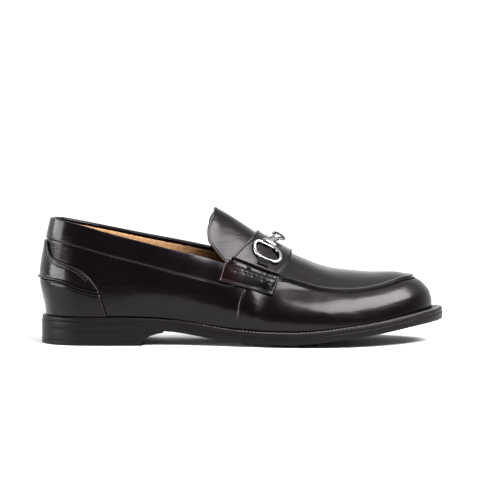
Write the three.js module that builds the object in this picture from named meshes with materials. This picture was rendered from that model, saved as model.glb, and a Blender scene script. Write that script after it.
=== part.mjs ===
import * as THREE from "three";
import { mergeVertices } from "three/addons/utils/BufferGeometryUtils.js";

// Right bit loafer, in millimetres. +X points to the toe, -Y to the outer side, +Z up.
// Driving sizes of the sole.
const soleLength = 300;
const ballWidth = 107;
const heelWidth = 69;
const heelHeight = 11;
const toeSpring = 16.5;
const soleRound = 1.9;
const edgeStep = 0.55;
const outsoleThickness = 5.7;
const weltThickness = 3;
const weltReach = 6.2;
const insoleRound = 0.7;
const heelLength = 76;
const breastReach = 15.5;
const breastHollow = 3;
const liftThickness = 3;
const heelInset = 0.6;

// Driving sizes of the upper.
const collarTop = 93;
const instepHeight = 100;
const apronShare = 0.477;
const apronHeight = apronShare * instepHeight;
const backCurve = 10;
const toeCurve = 30;
const wallThickness = 2;
const panelStep = 0.8;
const apronBead = 2;
const beadReach = 1.4;
const bandDepth = 15.3;
const insoleThickness = 2.6;
const weltLap = 2;

// Driving sizes of the pieces that lie on the upper.
const clearance = 0.3;
const tongueThickness = 2.2;
const strapThickness = 1.8;
const strapEndThickness = 1.5;
const puckerHeight = 1.3;
const counterThickness = 1.3;
const counterLength = 47.5;
const counterSlant = 0.033;
const lipReach = 3;
const puckerDipShare = 0.72;

// Driving sizes of the bit.
const wireRadius = 1.5;
const ringLength = 23.6;
const ringWidth = 16.5;
const ringPower = 0.62;
const barWidth = 11.5;
const barThickness = 4.4;
const tabWidth = 8.6;
const tabShift = 2.4;
const tabThickness = 1.1;

// Stations as shares of the upper's or the sole's length.
const throatStartShare = 0.475;
const throatEndShare = 0.585;
const bandEndShare = 0.46;
const apronStartShare = 0.6;
const beadStartShare = 0.621;
const beadFullShare = 0.645;
const heelBreadthShare = 0.3;
const ballBreadthShare = 0.6;
const nearShare = 0.01;

// Angles. The tongue keeps one angle off the collar, and a strap end sinks over a range of it.
const wallEnd = Math.PI / 2;
const smallTurn = 1e-3;
const besideRidge = 0.02;
const tongueFreeAngle = 0.015;
const endSinkStartAngle = 0.05;
const endSinkEndAngle = 0.13;

// Brings the swell up * (1 - up) ** 2 to one at its highest.
const swellScale = 27 / 4;
const weldDistance = 1e-3;
const { lerp, smoothstep, clamp } = THREE.MathUtils;

// Plan of the sole: bend is the middle line over the ball width, breadth the width over heel or ball.
const planRows = [
  { at: 0, bend: 0, breadth: 0 },
  { at: 0.01, bend: 0, breadth: 0.41 },
  { at: 0.03, bend: 0, breadth: 0.68 },
  { at: 0.06, bend: 0, breadth: 0.865 },
  { at: 0.1, bend: 0, breadth: 0.965 },
  { at: 0.15, bend: -0.002, breadth: 0.995 },
  { at: 0.22, bend: -0.004, breadth: 0.98 },
  { at: 0.3, bend: -0.008, breadth: 0.935 },
  { at: 0.367, bend: -0.019, breadth: 0.86 },
  { at: 0.433, bend: -0.034, breadth: 0.785 },
  { at: 0.5, bend: -0.044, breadth: 0.78 },
  { at: 0.567, bend: -0.042, breadth: 0.84 },
  { at: 0.633, bend: -0.028, breadth: 0.93 },
  { at: 0.683, bend: -0.013, breadth: 0.976 },
  { at: 0.727, bend: 0.001, breadth: 0.995 },
  { at: 0.783, bend: 0.017, breadth: 0.975 },
  { at: 0.833, bend: 0.031, breadth: 0.91 },
  { at: 0.883, bend: 0.046, breadth: 0.8 },
  { at: 0.933, bend: 0.061, breadth: 0.625 },
  { at: 0.967, bend: 0.072, breadth: 0.455 },
  { at: 0.99, bend: 0.079, breadth: 0.26 },
  { at: 1, bend: 0.082, breadth: 0 },
];

// Side of the sole: the bottom edge over the heel height, toe spring and cross round, and the
// outsole's thickness and the welt's reach over their own sizes.
const soleRows = [
  { at: 0, heel: 1, toe: 0, round: 0, body: 1.1, reach: 0.74 },
  { at: 0.2, heel: 1, toe: 0, round: 0, body: 1.1, reach: 0.55 },
  { at: 0.28, heel: 0.99, toe: 0, round: 0, body: 1, reach: 0.46 },
  { at: 0.32, heel: 0.93, toe: 0, round: 0, body: 0.95, reach: 0.4 },
  { at: 0.37, heel: 0.72, toe: 0, round: 0.05, body: 0.95, reach: 0.42 },
  { at: 0.433, heel: 0.37, toe: 0, round: 0.35, body: 0.95, reach: 0.5 },
  { at: 0.5, heel: 0.09, toe: 0, round: 0.85, body: 0.95, reach: 0.7 },
  { at: 0.553, heel: 0, toe: 0, round: 1, body: 0.93, reach: 0.85 },
  { at: 0.61, heel: 0, toe: 0, round: 1, body: 0.92, reach: 0.95 },
  { at: 0.663, heel: 0, toe: 0.055, round: 1, body: 0.9, reach: 1 },
  { at: 0.733, heel: 0, toe: 0.21, round: 1, body: 0.86, reach: 1 },
  { at: 0.833, heel: 0, toe: 0.467, round: 0.85, body: 0.86, reach: 1.05 },
  { at: 0.923, heel: 0, toe: 0.77, round: 0.5, body: 0.9, reach: 1.15 },
  { at: 0.97, heel: 0, toe: 0.92, round: 0.2, body: 0.98, reach: 1.25 },
  { at: 1, heel: 0, toe: 1, round: 0, body: 1.02, reach: 1.32 },
];

// Edge of the outsole: in over the step inward, up over its thickness.
const edgeRows = [
  { in: 1.8, up: 0 },
  { in: 0.18, up: 0.13 },
  { in: 0, up: 0.3 },
  { in: 1, up: 0.38 },
  { in: 1, up: 1 },
];

// Outer edge of the welt: in over the outsole's step inward, up over its thickness.
const weltRows = [
  { in: 1.6, up: 0 },
  { in: 1.3, up: 0.5 },
  { in: 2.4, up: 1 },
];

// Ridge along the top of the upper, over the instep height, and its drift over the ball width.
// Behind the throat it is only the line that the open sides lean to.
const ridgeRows = [
  { at: 0, rise: 1.42, drift: 0 },
  { at: 0.13, rise: 1.35, drift: 0.002 },
  { at: 0.3, rise: 1.18, drift: 0.01 },
  { at: 0.4254, rise: 0.998, drift: 0.02 },
  { at: 0.4655, rise: 0.944, drift: 0.022 },
  { at: 0.496, rise: 0.898, drift: 0.024 },
  { at: 0.523, rise: 0.856, drift: 0.026 },
  { at: 0.5625, rise: 0.793, drift: 0.029 },
  { at: 0.612, rise: 0.722, drift: 0.032 },
  { at: 0.65, rise: 0.671, drift: 0.035 },
  { at: 0.685, rise: 0.629, drift: 0.038 },
  { at: 0.716, rise: 0.597, drift: 0.041 },
  { at: 0.745, rise: 0.569, drift: 0.044 },
  { at: 0.787, rise: 0.541, drift: 0.049 },
  { at: 0.845, rise: 0.523, drift: 0.056 },
  { at: 0.931, rise: 0.507, drift: 0.068 },
  { at: 1, rise: 0.508, drift: 0.078 },
];

// Shape of the cross sections: powers of height and width, and the swell above the welt.
const sectionRows = [
  { at: 0, tall: 2, wide: 2.1, belly: 0.03 },
  { at: 0.2, tall: 2, wide: 2.1, belly: 0.05 },
  { at: 0.35, tall: 2, wide: 2.1, belly: 0.16 },
  { at: 0.48, tall: 2, wide: 2, belly: 0.14 },
  { at: 0.6, tall: 2, wide: 1.85, belly: 0.05 },
  { at: 0.72, tall: 2.1, wide: 1.95, belly: 0.02 },
  { at: 0.85, tall: 2.1, wide: 2.1, belly: 0.01 },
  { at: 0.93, tall: 2.1, wide: 2.7, belly: 0.01 },
  { at: 1, tall: 2.1, wide: 4, belly: 0.01 },
];

// Side lines of the back and the toe, over their curve sizes, against the share of height.
const backRows = [
  { up: 0, in: 0.46 },
  { up: 0.052, in: 0.4 },
  { up: 0.137, in: 0.18 },
  { up: 0.21, in: 0.03 },
  { up: 0.26, in: 0.02 },
  { up: 0.332, in: 0.12 },
  { up: 0.398, in: 0.27 },
  { up: 0.474, in: 0.42 },
  { up: 0.59, in: 0.74 },
  { up: 0.733, in: 1.3 },
  { up: 1, in: 3 },
];
const toeRows = [
  { up: 0, out: 1 },
  { up: 0.073, out: 1 },
  { up: 0.2, out: 0.993 },
  { up: 0.325, out: 0.97 },
  { up: 0.488, out: 0.92 },
  { up: 0.6, out: 0.847 },
  { up: 0.715, out: 0.757 },
  { up: 0.793, out: 0.67 },
  { up: 0.874, out: 0.533 },
  { up: 0.96, out: 0.267 },
  { up: 1, out: 0 },
];

// Collar edge on each side, over the height at the back.
const collarRows = [
  { at: 0, outer: 1, inner: 1 },
  { at: 0.024, outer: 0.99, inner: 0.99 },
  { at: 0.076, outer: 0.957, inner: 0.958 },
  { at: 0.175, outer: 0.876, inner: 0.898 },
  { at: 0.25, outer: 0.818, inner: 0.852 },
  { at: 0.345, outer: 0.744, inner: 0.795 },
  { at: 0.405, outer: 0.7, inner: 0.758 },
  { at: 0.475, outer: 0.635, inner: 0.715 },
];

// Apron seam over its height at the toe.
const apronRows = [
  { at: 0.475, seam: 1.06 },
  { at: 0.617, seam: 1.025 },
  { at: 0.663, seam: 0.952 },
  { at: 0.716, seam: 0.872 },
  { at: 0.785, seam: 0.838 },
  { at: 0.833, seam: 0.853 },
  { at: 0.881, seam: 0.893 },
  { at: 0.924, seam: 0.94 },
  { at: 0.96, seam: 0.98 },
  { at: 1, seam: 1 },
];

// Step of the wall across a seam: past is the way above the seam over the bead's reach, the others
// are shares of their steps.
const beadRows = [
  { past: -1, bead: 0, band: 0 },
  { past: -0.25, bead: -0.3, band: -0.1 },
  { past: 0.18, bead: 0.85, band: 1 },
  { past: 1, bead: 1, band: 1 },
  { past: 2.15, bead: 0.55, band: 1 },
];

// Counter panels: the upper one's top edge and the line between the two, over the collar height.
const counterRows = [
  { round: 0, top: 0.822, split: 0.516 },
  { round: 0.12, top: 0.82, split: 0.516 },
  { round: 0.23, top: 0.808, split: 0.516 },
  { round: 0.33, top: 0.737, split: 0.515 },
  { round: 0.45, top: 0.691, split: 0.509 },
  { round: 0.655, top: 0.652, split: 0.49 },
  { round: 0.78, top: 0.623, split: 0.452 },
  { round: 0.886, top: 0.568, split: 0.424 },
  { round: 0.95, top: 0.508, split: 0.41 },
  { round: 0.984, top: 0.46, split: 0.407 },
  { round: 1, top: 0.43, split: 0.406 },
];

// Free edge of the tongue, from the ridge out to its corner.
const tongueRows = [
  { across: 0, rear: 0.425 },
  { across: 0.3, rear: 0.418 },
  { across: 0.64, rear: 0.405 },
  { across: 0.815, rear: 0.413 },
  { across: 0.87, rear: 0.425 },
  { across: 0.937, rear: 0.4435 },
  { across: 1, rear: 0.463 },
];

// Edges of the strap and of its stitched ends, against the angle down from the ridge.
const strapRows = [
  { fall: 0, rear: 0.558, front: 0.672 },
  { fall: 0.33, rear: 0.538, front: 0.65 },
  { fall: 0.61, rear: 0.51, front: 0.631 },
  { fall: 0.885, rear: 0.4775, front: 0.6035 },
];
const strapEndRows = [
  { fall: 0.905, rise: 0.5, rear: 0.468, front: 0.6036 },
  { fall: 0.93, rise: 1, rear: 0.4655, front: 0.602 },
  { fall: 0.955, rise: 0.8, rear: 0.463, front: 0.6008 },
  { fall: 0.985, rise: 0.1, rear: 0.4608, front: 0.599 },
  { fall: 1.03, rise: 0, rear: 0.4573, front: 0.5965 },
  { fall: 1.08, rise: 0, rear: 0.454, front: 0.593 },
  { fall: 1.145, rise: 0, rear: 0.451, front: 0.588 },
];

// Breast of the heel: how far it runs forward under the waist as it rises.
const breastRows = [
  { out: 0, up: 0.3 },
  { out: 0.08, up: 0.4 },
  { out: 0.38, up: 0.63 },
  { out: 0.7, up: 0.78 },
  { out: 1, up: 0.86 },
];

// Half of the bit's mouthpiece, from its middle link out to the barrel beside the ring.
const mouthRows = [
  { out: 0, wide: 0.5, thick: 1.3 },
  { out: 0.16, wide: 0.62, thick: 1.45 },
  { out: 0.32, wide: 0.5, thick: 1.2 },
  { out: 0.42, wide: 0.28, thick: 0.8 },
  { out: 0.62, wide: 0.34, thick: 0.8 },
  { out: 0.78, wide: 0.55, thick: 0.9 },
  { out: 0.86, wide: 0.95, thick: 1 },
  { out: 0.97, wide: 1, thick: 1 },
  { out: 1, wide: 0.9, thick: 0.6 },
];

// Leather tab over the ring's wire: past is the way over the wire in its own reach, rise the lift
// over the wire.
const tabRows = [
  { past: 2.2, rise: 0 },
  { past: 1.5, rise: 0.75 },
  { past: 0.8, rise: 1 },
  { past: -0.8, rise: 1 },
  { past: -1.3, rise: 0.7 },
  { past: -1.8, rise: 0.1 },
  { past: -2.2, rise: 0 },
];

// A smooth curve through one column of a table that keeps flat runs flat.
function curve(rows, key, column, warp = (value) => value) {
  const xs = rows.map((row) => warp(row[key]));
  const ys = rows.map((row) => row[column]);
  const slopes = xs.slice(1).map((x, i) => (ys[i + 1] - ys[i]) / (x - xs[i]));
  const tangents = xs.map((x, i) => {
    if (i === 0) return slopes[0];
    if (i === slopes.length) return slopes[i - 1];
    if (slopes[i - 1] * slopes[i] <= 0) return 0;
    const before = xs[i] - xs[i - 1];
    const after = xs[i + 1] - xs[i];
    const first = (2 * after + before) / slopes[i - 1];
    const second = (after + 2 * before) / slopes[i];
    return (3 * (after + before)) / (first + second);
  });
  return (value) => {
    const x = clamp(warp(value), xs[0], xs.at(-1));
    const i = Math.min(Math.max(xs.findIndex((edge) => edge >= x) - 1, 0), slopes.length - 1);
    const span = xs[i + 1] - xs[i];
    const t = (x - xs[i]) / span;
    const rest = 1 - t;
    return (
      rest * rest * (1 + 2 * t) * ys[i] +
      t * rest * rest * span * tangents[i] +
      t * t * (3 - 2 * t) * ys[i + 1] -
      t * t * rest * span * tangents[i + 1]
    );
  };
}

const turnAt = (at) => Math.acos(clamp(1 - 2 * at, -1, 1));
const fallOf = (up) => -Math.acos(clamp(up, 0, 1));
const atTurn = (turn) => (1 - Math.cos(turn)) / 2;
const sideOf = (turn) => (Math.sin(turn) < 0 ? 1 : -1);
const steps = (from, to, count) =>
  Array.from({ length: count + 1 }, (_, i) => lerp(from, to, i / count));

const bendAt = curve(planRows, "at", "bend", turnAt);
const breadthAt = curve(planRows, "at", "breadth", turnAt);
const heelShare = curve(soleRows, "at", "heel");
const toeShare = curve(soleRows, "at", "toe");
const roundShare = curve(soleRows, "at", "round");
const bodyShare = curve(soleRows, "at", "body");
const reachShare = curve(soleRows, "at", "reach");
const riseAt = curve(ridgeRows, "at", "rise");
const driftAt = curve(ridgeRows, "at", "drift");
const tallAt = curve(sectionRows, "at", "tall");
const wideAt = curve(sectionRows, "at", "wide");
const bellyAt = curve(sectionRows, "at", "belly");
const backIn = curve(backRows, "up", "in");
const toeOut = curve(toeRows, "up", "out", fallOf);
const outerCollar = curve(collarRows, "at", "outer");
const innerCollar = curve(collarRows, "at", "inner");
const apronSeam = curve(apronRows, "at", "seam");
const counterTop = curve(counterRows, "round", "top");
const counterSplit = curve(counterRows, "round", "split");
const tongueRear = curve(tongueRows, "across", "rear");
const strapRear = curve(strapRows, "fall", "rear");
const strapFront = curve(strapRows, "fall", "front");
const breastUp = curve(breastRows, "out", "up");

// The origin lies under the middle of the whole length, from the lip at the back to the toe.
const originX = (soleLength - lipReach) / 2;

// Outline of the sole in plan, walked from the back along the outer side to the toe and back.
function outline(turn) {
  const at = atTurn(turn);
  const full = lerp(heelWidth, ballWidth, smoothstep(at, heelBreadthShare, ballBreadthShare));
  const out = (sideOf(turn) * full * breadthAt(at)) / 2;
  return new THREE.Vector2(soleLength * at - originX, ballWidth * bendAt(at) + out);
}

// The same outline moved inward by a margin.
function inset(turn, margin) {
  const along = outline(turn + smallTurn).sub(outline(turn - smallTurn)).normalize();
  return outline(turn).add(new THREE.Vector2(-along.y, along.x).multiplyScalar(margin));
}

const bottomEdge = (at) =>
  heelHeight * heelShare(at) + toeSpring * toeShare(at) + soleRound * roundShare(at);
const seatHeight = (at) => bottomEdge(at) + outsoleThickness * bodyShare(at);
const weltTop = (at) => seatHeight(at) + clearance + weltThickness;
const featherHeight = (at) => weltTop(at) + clearance;
const featherMargin = (at) => weltReach * reachShare(at);
const feather = (turn) => inset(turn, featherMargin(atTurn(turn)));
const featherBack = feather(0).x;
const featherToe = feather(Math.PI).x;
const backLine = (up) => backCurve * backIn(up) - backCurve * backRows[0].in + featherBack;
const toeLine = (up) => featherToe - toeCurve * (1 - toeOut(up));
const ridgeHeight = (at) => instepHeight * riseAt(at);

// Outer face of the upper: turn walks round the shoe, fall drops from the ridge to the welt.
function face(turn, fall) {
  if (fall < 0) return face(-turn, -fall);
  const foot = feather(turn);
  const at = (foot.x - featherBack) / (featherToe - featherBack);
  const station = atTurn(turn);
  const up = Math.max(Math.cos(fall), 0) ** (2 / tallAt(at));
  const swell = 1 + bellyAt(at) * swellScale * up * (1 - up) ** 2;
  const middle = ballWidth * bendAt(station);
  const out = (foot.y - middle) * Math.sin(fall) ** (2 / wideAt(at)) * swell;
  return new THREE.Vector3(
    lerp(backLine(up), toeLine(up), at),
    lerp(middle, ballWidth * driftAt(at), Math.cos(fall)) + out,
    lerp(featherHeight(station), ridgeHeight(at), up),
  );
}

const shareOf = (turn) => (feather(turn).x - featherBack) / (featherToe - featherBack);

// Outward normal, taken just beside the ridge where the two sides meet.
function outward(turn, fall) {
  const beside = Math.max(fall, besideRidge);
  const low = Math.min(beside + smallTurn, wallEnd);
  const across = face(turn, low).sub(face(turn, beside - smallTurn));
  const along = face(turn + smallTurn, beside).sub(face(turn - smallTurn, beside));
  return across.cross(along).normalize();
}

// A point lifted off the face, along its normal. Both sides share one point on the ridge.
function lifted(turn, fall, lift) {
  const way = fall === 0 ? Math.abs(turn) : turn;
  return face(way, fall).addScaledVector(outward(way, fall), lift);
}

// How far the angle changes for a length down the face.
function fallPerLength(turn, fall) {
  return (2 * smallTurn) / face(turn, fall + smallTurn).distanceTo(face(turn, fall - smallTurn));
}

function fallAtHeight(turn, height) {
  const at = shareOf(turn);
  const foot = featherHeight(atTurn(turn));
  const up = (height - foot) / (ridgeHeight(at) - foot);
  return Math.acos(clamp(up, 0, 1) ** (tallAt(at) / 2));
}

const collarHeight = (turn) =>
  collarTop * (sideOf(turn) < 0 ? outerCollar(shareOf(turn)) : innerCollar(shareOf(turn)));
const collarFall = (turn) => fallAtHeight(turn, collarHeight(turn));

// The turn at a share of the upper's length, on the side given.
function turnAtShare(share, side) {
  let low = 0;
  let high = Math.PI;
  for (let i = 0; i < 40; i++) {
    const middle = (low + high) / 2;
    if (shareOf(middle) < share) low = middle;
    else high = middle;
  }
  return -side * low;
}

const throatFall = {
  outer: collarFall(turnAtShare(throatStartShare, -1)),
  inner: collarFall(turnAtShare(throatStartShare, 1)),
};
const throatFallOf = (turn) => (sideOf(turn) < 0 ? throatFall.outer : throatFall.inner);

// Top edge of the upper: the collar, then the throat up to the ridge, then the ridge itself.
function topFall(turn) {
  const at = shareOf(turn);
  if (at <= throatStartShare) return collarFall(turn);
  return throatFallOf(turn) * clamp((throatEndShare - at) / (throatEndShare - throatStartShare), 0, 1);
}

// Seam of the collar band at the back and of the apron in front.
function seamFall(turn) {
  const at = shareOf(turn);
  const band = collarHeight(turn) - bandDepth;
  const apron = apronHeight * apronSeam(at);
  return fallAtHeight(turn, lerp(band, apron, smoothstep(at, bandEndShare, apronStartShare)));
}

class Shell {
  corners = [];
  quad(a, b, c, d) {
    this.corners.push(a, b, c, a, c, d);
  }
  geometry() {
    const whole = mergeVertices(new THREE.BufferGeometry().setFromPoints(this.corners), weldDistance);
    const kept = [];
    for (let i = 0; i < whole.index.count; i += 3) {
      const [a, b, c] = [0, 1, 2].map((k) => whole.index.getX(i + k));
      if (a !== b && b !== c && a !== c) kept.push(a, b, c);
    }
    whole.setIndex(kept);
    if (volumeOf(whole) < 0) whole.setIndex(kept.reverse());
    whole.computeVertexNormals();
    return whole;
  }
}

function volumeOf(geometry) {
  const { index, attributes } = geometry;
  const corner = [0, 1, 2].map(() => new THREE.Vector3());
  let volume = 0;
  for (let i = 0; i < index.count; i += 3) {
    corner.forEach((v, k) => v.fromBufferAttribute(attributes.position, index.getX(i + k)));
    volume += corner[0].dot(corner[1].clone().cross(corner[2])) / 6;
  }
  return volume;
}

// A body through closed sections of equal count. Its ends close between the halves of a section,
// or the last section joins the first.
function loft(sections, ends = "capped") {
  const shell = new Shell();
  const count = sections[0].length;
  const runs = ends === "joined" ? sections.length : sections.length - 1;
  for (let i = 0; i < runs; i++) {
    const here = sections[i];
    const next = sections[(i + 1) % sections.length];
    here.forEach((point, k) => {
      const side = (k + 1) % count;
      shell.quad(point, next[k], next[side], here[side]);
    });
  }
  if (ends === "capped") {
    const first = sections[0];
    const last = sections.at(-1);
    for (let k = 0; k < count / 2 - 1; k++) {
      const far = count - 1 - k;
      shell.quad(first[k], first[k + 1], first[far - 1], first[far]);
      shell.quad(last[far], last[far - 1], last[k + 1], last[k]);
    }
  }
  return shell.geometry();
}

// A panel of leather over a grid of places: each place gives turn, fall and its two lifts.
function panel(places) {
  return loft(
    places.map((row) => [
      ...row.map((p) => lifted(p.turn, p.fall, p.over)),
      ...row.map((p) => lifted(p.turn, p.fall, p.under)).reverse(),
    ]),
  );
}

const bothSides = (turn) => [turn, -turn];
const mirrored = (shares) => [...shares.slice(1).reverse().map((share) => -share), ...shares];
const atHeight = (point, height) => new THREE.Vector3(point.x, point.y, height);

// Outsole: edge steps on both sides, a rounded bottom with a flat tread, and a level top.
const flatTreadShare = 0.5;
const treadShares = [0.82, flatTreadShare, 0];
const seatShares = [0.75, 0];
function outsoleSection(turn) {
  const at = atTurn(turn);
  const thickness = outsoleThickness * bodyShare(at);
  const middle = outline(turn).add(outline(-turn)).multiplyScalar(0.5);
  const [outer, inner] = bothSides(turn).map((side) => {
    const edge = edgeRows.map((row) =>
      atHeight(inset(side, edgeStep * row.in), bottomEdge(at) + row.up * thickness),
    );
    const under = treadShares.map((share) => {
      const past = Math.max(share - flatTreadShare, 0) / (1 - flatTreadShare);
      const drop = soleRound * roundShare(at) * (1 - past ** 2);
      const place = middle.clone().lerp(inset(side, edgeStep * edgeRows[0].in), share);
      return atHeight(place, bottomEdge(at) - drop);
    });
    const above = seatShares.map((share) =>
      atHeight(middle.clone().lerp(inset(side, edgeStep), share), seatHeight(at)),
    );
    return { edge, under, above };
  });
  return [
    ...outer.edge.slice().reverse(),
    ...outer.under,
    ...inner.under.slice(0, -1).reverse(),
    ...inner.edge,
    ...inner.above,
    ...outer.above.slice(0, -1).reverse(),
  ];
}
const flatRows = soleRows.filter((row) => row.heel === 0 && row.toe === 0);
const treadTurns = flatRows.map((row) => turnAt(row.at));
const soleTurns = [
  ...steps(0, treadTurns[0], 18),
  treadTurns[1],
  ...steps(treadTurns[1], Math.PI, 14).slice(1),
];

function outsole() {
  return loft(soleTurns.map(outsoleSection), "pointed");
}

// Walks the whole outline once.
const roundTurns = steps(-Math.PI, Math.PI, 68).slice(0, -1);

// Welt: a flat ring on the outsole, under the edge of the upper.
function welt() {
  return loft(
    roundTurns.map((turn) => {
      const at = atTurn(turn);
      const inside = featherMargin(at) + wallThickness + weltLap;
      const low = seatHeight(at) + clearance;
      return [
        ...weltRows.map((row) =>
          atHeight(inset(turn, edgeStep * row.in), lerp(low, weltTop(at), row.up)),
        ),
        atHeight(inset(turn, inside), weltTop(at)),
        atHeight(inset(turn, inside), low),
      ];
    }),
    "joined",
  );
}

// Insole: it fills the ring of the welt and lies inside the wall of the upper.
function insole() {
  return loft(
    soleTurns.map((turn) => {
      const at = atTurn(turn);
      const wide = featherMargin(at) + wallThickness + 2 * clearance;
      const narrow = wide + weltLap;
      const low = seatHeight(at) + clearance;
      const high = featherHeight(at) + insoleThickness;
      const sides = bothSides(turn).map((side) => [
        atHeight(inset(side, narrow), low),
        atHeight(inset(side, narrow), featherHeight(at)),
        atHeight(inset(side, wide), featherHeight(at)),
        atHeight(inset(side, wide), high - insoleRound),
        atHeight(inset(side, wide + insoleRound), high),
      ]);
      const middle = sides[0][0].clone().lerp(sides[1][0], 0.5);
      return [
        ...sides[0].slice().reverse(),
        atHeight(middle, low),
        ...sides[1],
        atHeight(middle, high),
      ];
    }),
    "pointed",
  );
}

// One plate of the heel, between a lower and an upper height at each station.
function heelPlate(stations, low, high) {
  return loft(
    stations.map(({ at, hollow }) => {
      const turn = turnAt(at);
      const [outer, inner] = bothSides(turn).map((side) => inset(side, heelInset));
      const places = [0, 0.25, 0.5, 0.75, 1].map((share) => {
        const point = outer.clone().lerp(inner, share);
        point.x -= breastHollow * hollow * 4 * share * (1 - share);
        return point;
      });
      return [
        ...places.map((point) => atHeight(point, low(at))),
        ...places.map((point) => atHeight(point, high(at))).reverse(),
      ];
    }),
  );
}
const breastShare = heelLength / soleLength;
const heelShares = [0, 0.006, 0.02, 0.045, 0.085, 0.15, 0.22, 0.32, 0.44, 0.58, 0.72, 0.86, 1];
const heelStations = heelShares.map((share) => ({ at: breastShare * share, hollow: share ** 6 }));

function heelBlock() {
  const under = breastRows.slice(1).map((row) => ({
    at: breastShare + (breastReach * row.out) / soleLength,
    hollow: 1 - row.out,
  }));
  const low = (at) => {
    const out = ((at - breastShare) * soleLength) / breastReach;
    return out > smallTurn ? heelHeight * breastUp(out) : liftThickness + clearance;
  };
  return heelPlate([...heelStations, ...under], low, (at) => bottomEdge(at) - clearance);
}

function heelLift() {
  return heelPlate(heelStations, () => 0, () => liftThickness);
}

// Upper: an outer and an inner face, joined at the welt and along the collar and throat.
function upperTurns() {
  const from = turnAtShare(throatStartShare, -1);
  const to = turnAtShare(throatEndShare, -1);
  const rear = steps(0, from, 17);
  const throat = steps(from, to, 4).slice(1);
  const front = steps(to, Math.PI, 17).slice(1);
  const outerSide = [...rear, ...throat, ...front];
  const innerSide = outerSide.slice(1, -1).map((turn) => -turn);
  return [...outerSide, ...innerSide.reverse()];
}

function upperColumn(turn) {
  const seam = seamFall(turn);
  const top = topFall(turn);
  const perReach = beadReach * fallPerLength(turn, seam);
  const front = smoothstep(shareOf(turn), beadStartShare, beadFullShare);
  const beads = beadRows.map((row) => ({
    fall: seam - row.past * perReach,
    lift: lerp(panelStep * row.band, apronBead * row.bead, front),
  }));
  const low = steps(wallEnd, beads[0].fall, 6).slice(0, -1);
  const high = steps(beads.at(-1).fall, top, 5).slice(1);
  const outer = [
    ...low.map((fall) => ({ fall, lift: 0 })),
    ...beads,
    ...high.map((fall) => ({ fall, lift: panelStep })),
  ].map(({ fall, lift }) => lifted(turn, fall, lift));
  const inner = steps(wallEnd, top, 7).map((fall) => lifted(turn, fall, -wallThickness));
  return { outer, inner, open: top > smallTurn };
}

function upper() {
  const shell = new Shell();
  const columns = upperTurns().map(upperColumn);
  columns.forEach((here, i) => {
    const next = columns[(i + 1) % columns.length];
    for (let j = 0; j < here.outer.length - 1; j++)
      shell.quad(here.outer[j], next.outer[j], next.outer[j + 1], here.outer[j + 1]);
    for (let j = 0; j < here.inner.length - 1; j++)
      shell.quad(here.inner[j + 1], next.inner[j + 1], next.inner[j], here.inner[j]);
    shell.quad(here.inner[0], next.inner[0], next.outer[0], here.outer[0]);
    if (here.open || next.open)
      shell.quad(here.outer.at(-1), next.outer.at(-1), next.inner.at(-1), here.inner.at(-1));
  });
  return shell.geometry();
}

// Tongue: it continues the face of the apron from the throat back to its own free edge.
const tongueShares = [0, 0.17, 0.34, 0.52, 0.7, 0.82, 0.9, 0.96, 1];

function tongue() {
  const gapShare = clearance / (featherToe - featherBack);
  return panel(
    mirrored(tongueShares).map((share) => {
      const side = share > 0 ? -1 : 1;
      const slant = (throatEndShare - throatStartShare) * Math.abs(share);
      const front = throatEndShare - slant - 2 * gapShare;
      return steps(front, tongueRear(Math.abs(share)), 7).map((at) => {
        const turn = turnAtShare(at, side);
        const beside = collarFall(turn) - tongueFreeAngle;
        const limit = at < throatStartShare ? beside : throatFallOf(turn);
        return {
          turn,
          fall: Math.abs(share) * limit,
          over: panelStep,
          under: panelStep - tongueThickness,
        };
      });
    }),
  );
}

const strapUnder = panelStep + clearance;
const strapOver = strapUnder + strapThickness;
const strapFalls = steps(-strapRows.at(-1).fall, strapRows.at(-1).fall, 20);

function saddleStrap() {
  return panel(
    strapFalls.map((fall) => {
      const side = fall > 0 ? -1 : 1;
      const drop = Math.abs(fall);
      return steps(strapRear(drop), strapFront(drop), 7).map((at) => ({
        turn: turnAtShare(at, side),
        fall: drop,
        over: strapOver,
        under: strapUnder,
      }));
    }),
  );
}

// End of the strap below its seam, with the gathered ridge along its top.
function strapEnd(side) {
  return panel(
    strapEndRows.map((row) =>
      steps(row.rear, row.front, 12).map((at, i) => {
        const turn = turnAtShare(at, side);
        const seam = seamFall(turn);
        const sunk = smoothstep(row.fall, seam + endSinkStartAngle, seam + endSinkEndAngle);
        const under = lerp(strapUnder, clearance, sunk);
        const pucker = puckerHeight * row.rise * (i % 2 ? 1 : puckerDipShare);
        return { turn, fall: row.fall, over: under + strapEndThickness + pucker, under };
      }),
    ),
  );
}

const counterWrap = turnAt(counterLength / soleLength);
const counterUnder = clearance;
const counterOver = clearance + counterThickness;
const roundShares = [0, 0.1, 0.2, 0.27, 0.34, 0.45, 0.56, 0.67, 0.78, 0.88, 0.95, 1];
const wrapShares = mirrored(roundShares);
const lipStartShare = 0.3;
const lipEndShare = 0.6;
const lipDownShare = 0.76;
const lipLowShare = 0.96;

// Lip at the back of the upper counter panel, where it hangs over the lower one.
function lipLift(turn, fall) {
  const reach = lipReach + face(turn, fall).x + originX;
  return Math.max(reach, counterOver);
}

function counterUpper() {
  return panel(
    wrapShares.map((share) => {
      const turn = share * counterWrap;
      const round = Math.abs(share);
      const high = fallAtHeight(turn, collarTop * counterTop(round));
      const low = fallAtHeight(turn, collarTop * counterSplit(round) + clearance / 2);
      const backward = 1 - smoothstep(round, lipStartShare, lipEndShare);
      return [0, 0.3, 0.55, lipDownShare, 0.9, 1].map((down) => {
        const lip = backward * smoothstep(down, lipDownShare, lipLowShare);
        return {
          turn,
          fall: lerp(high, low, down),
          over: lerp(counterOver, lipLift(0, low), lip),
          under: counterUnder,
        };
      });
    }),
  );
}

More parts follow.
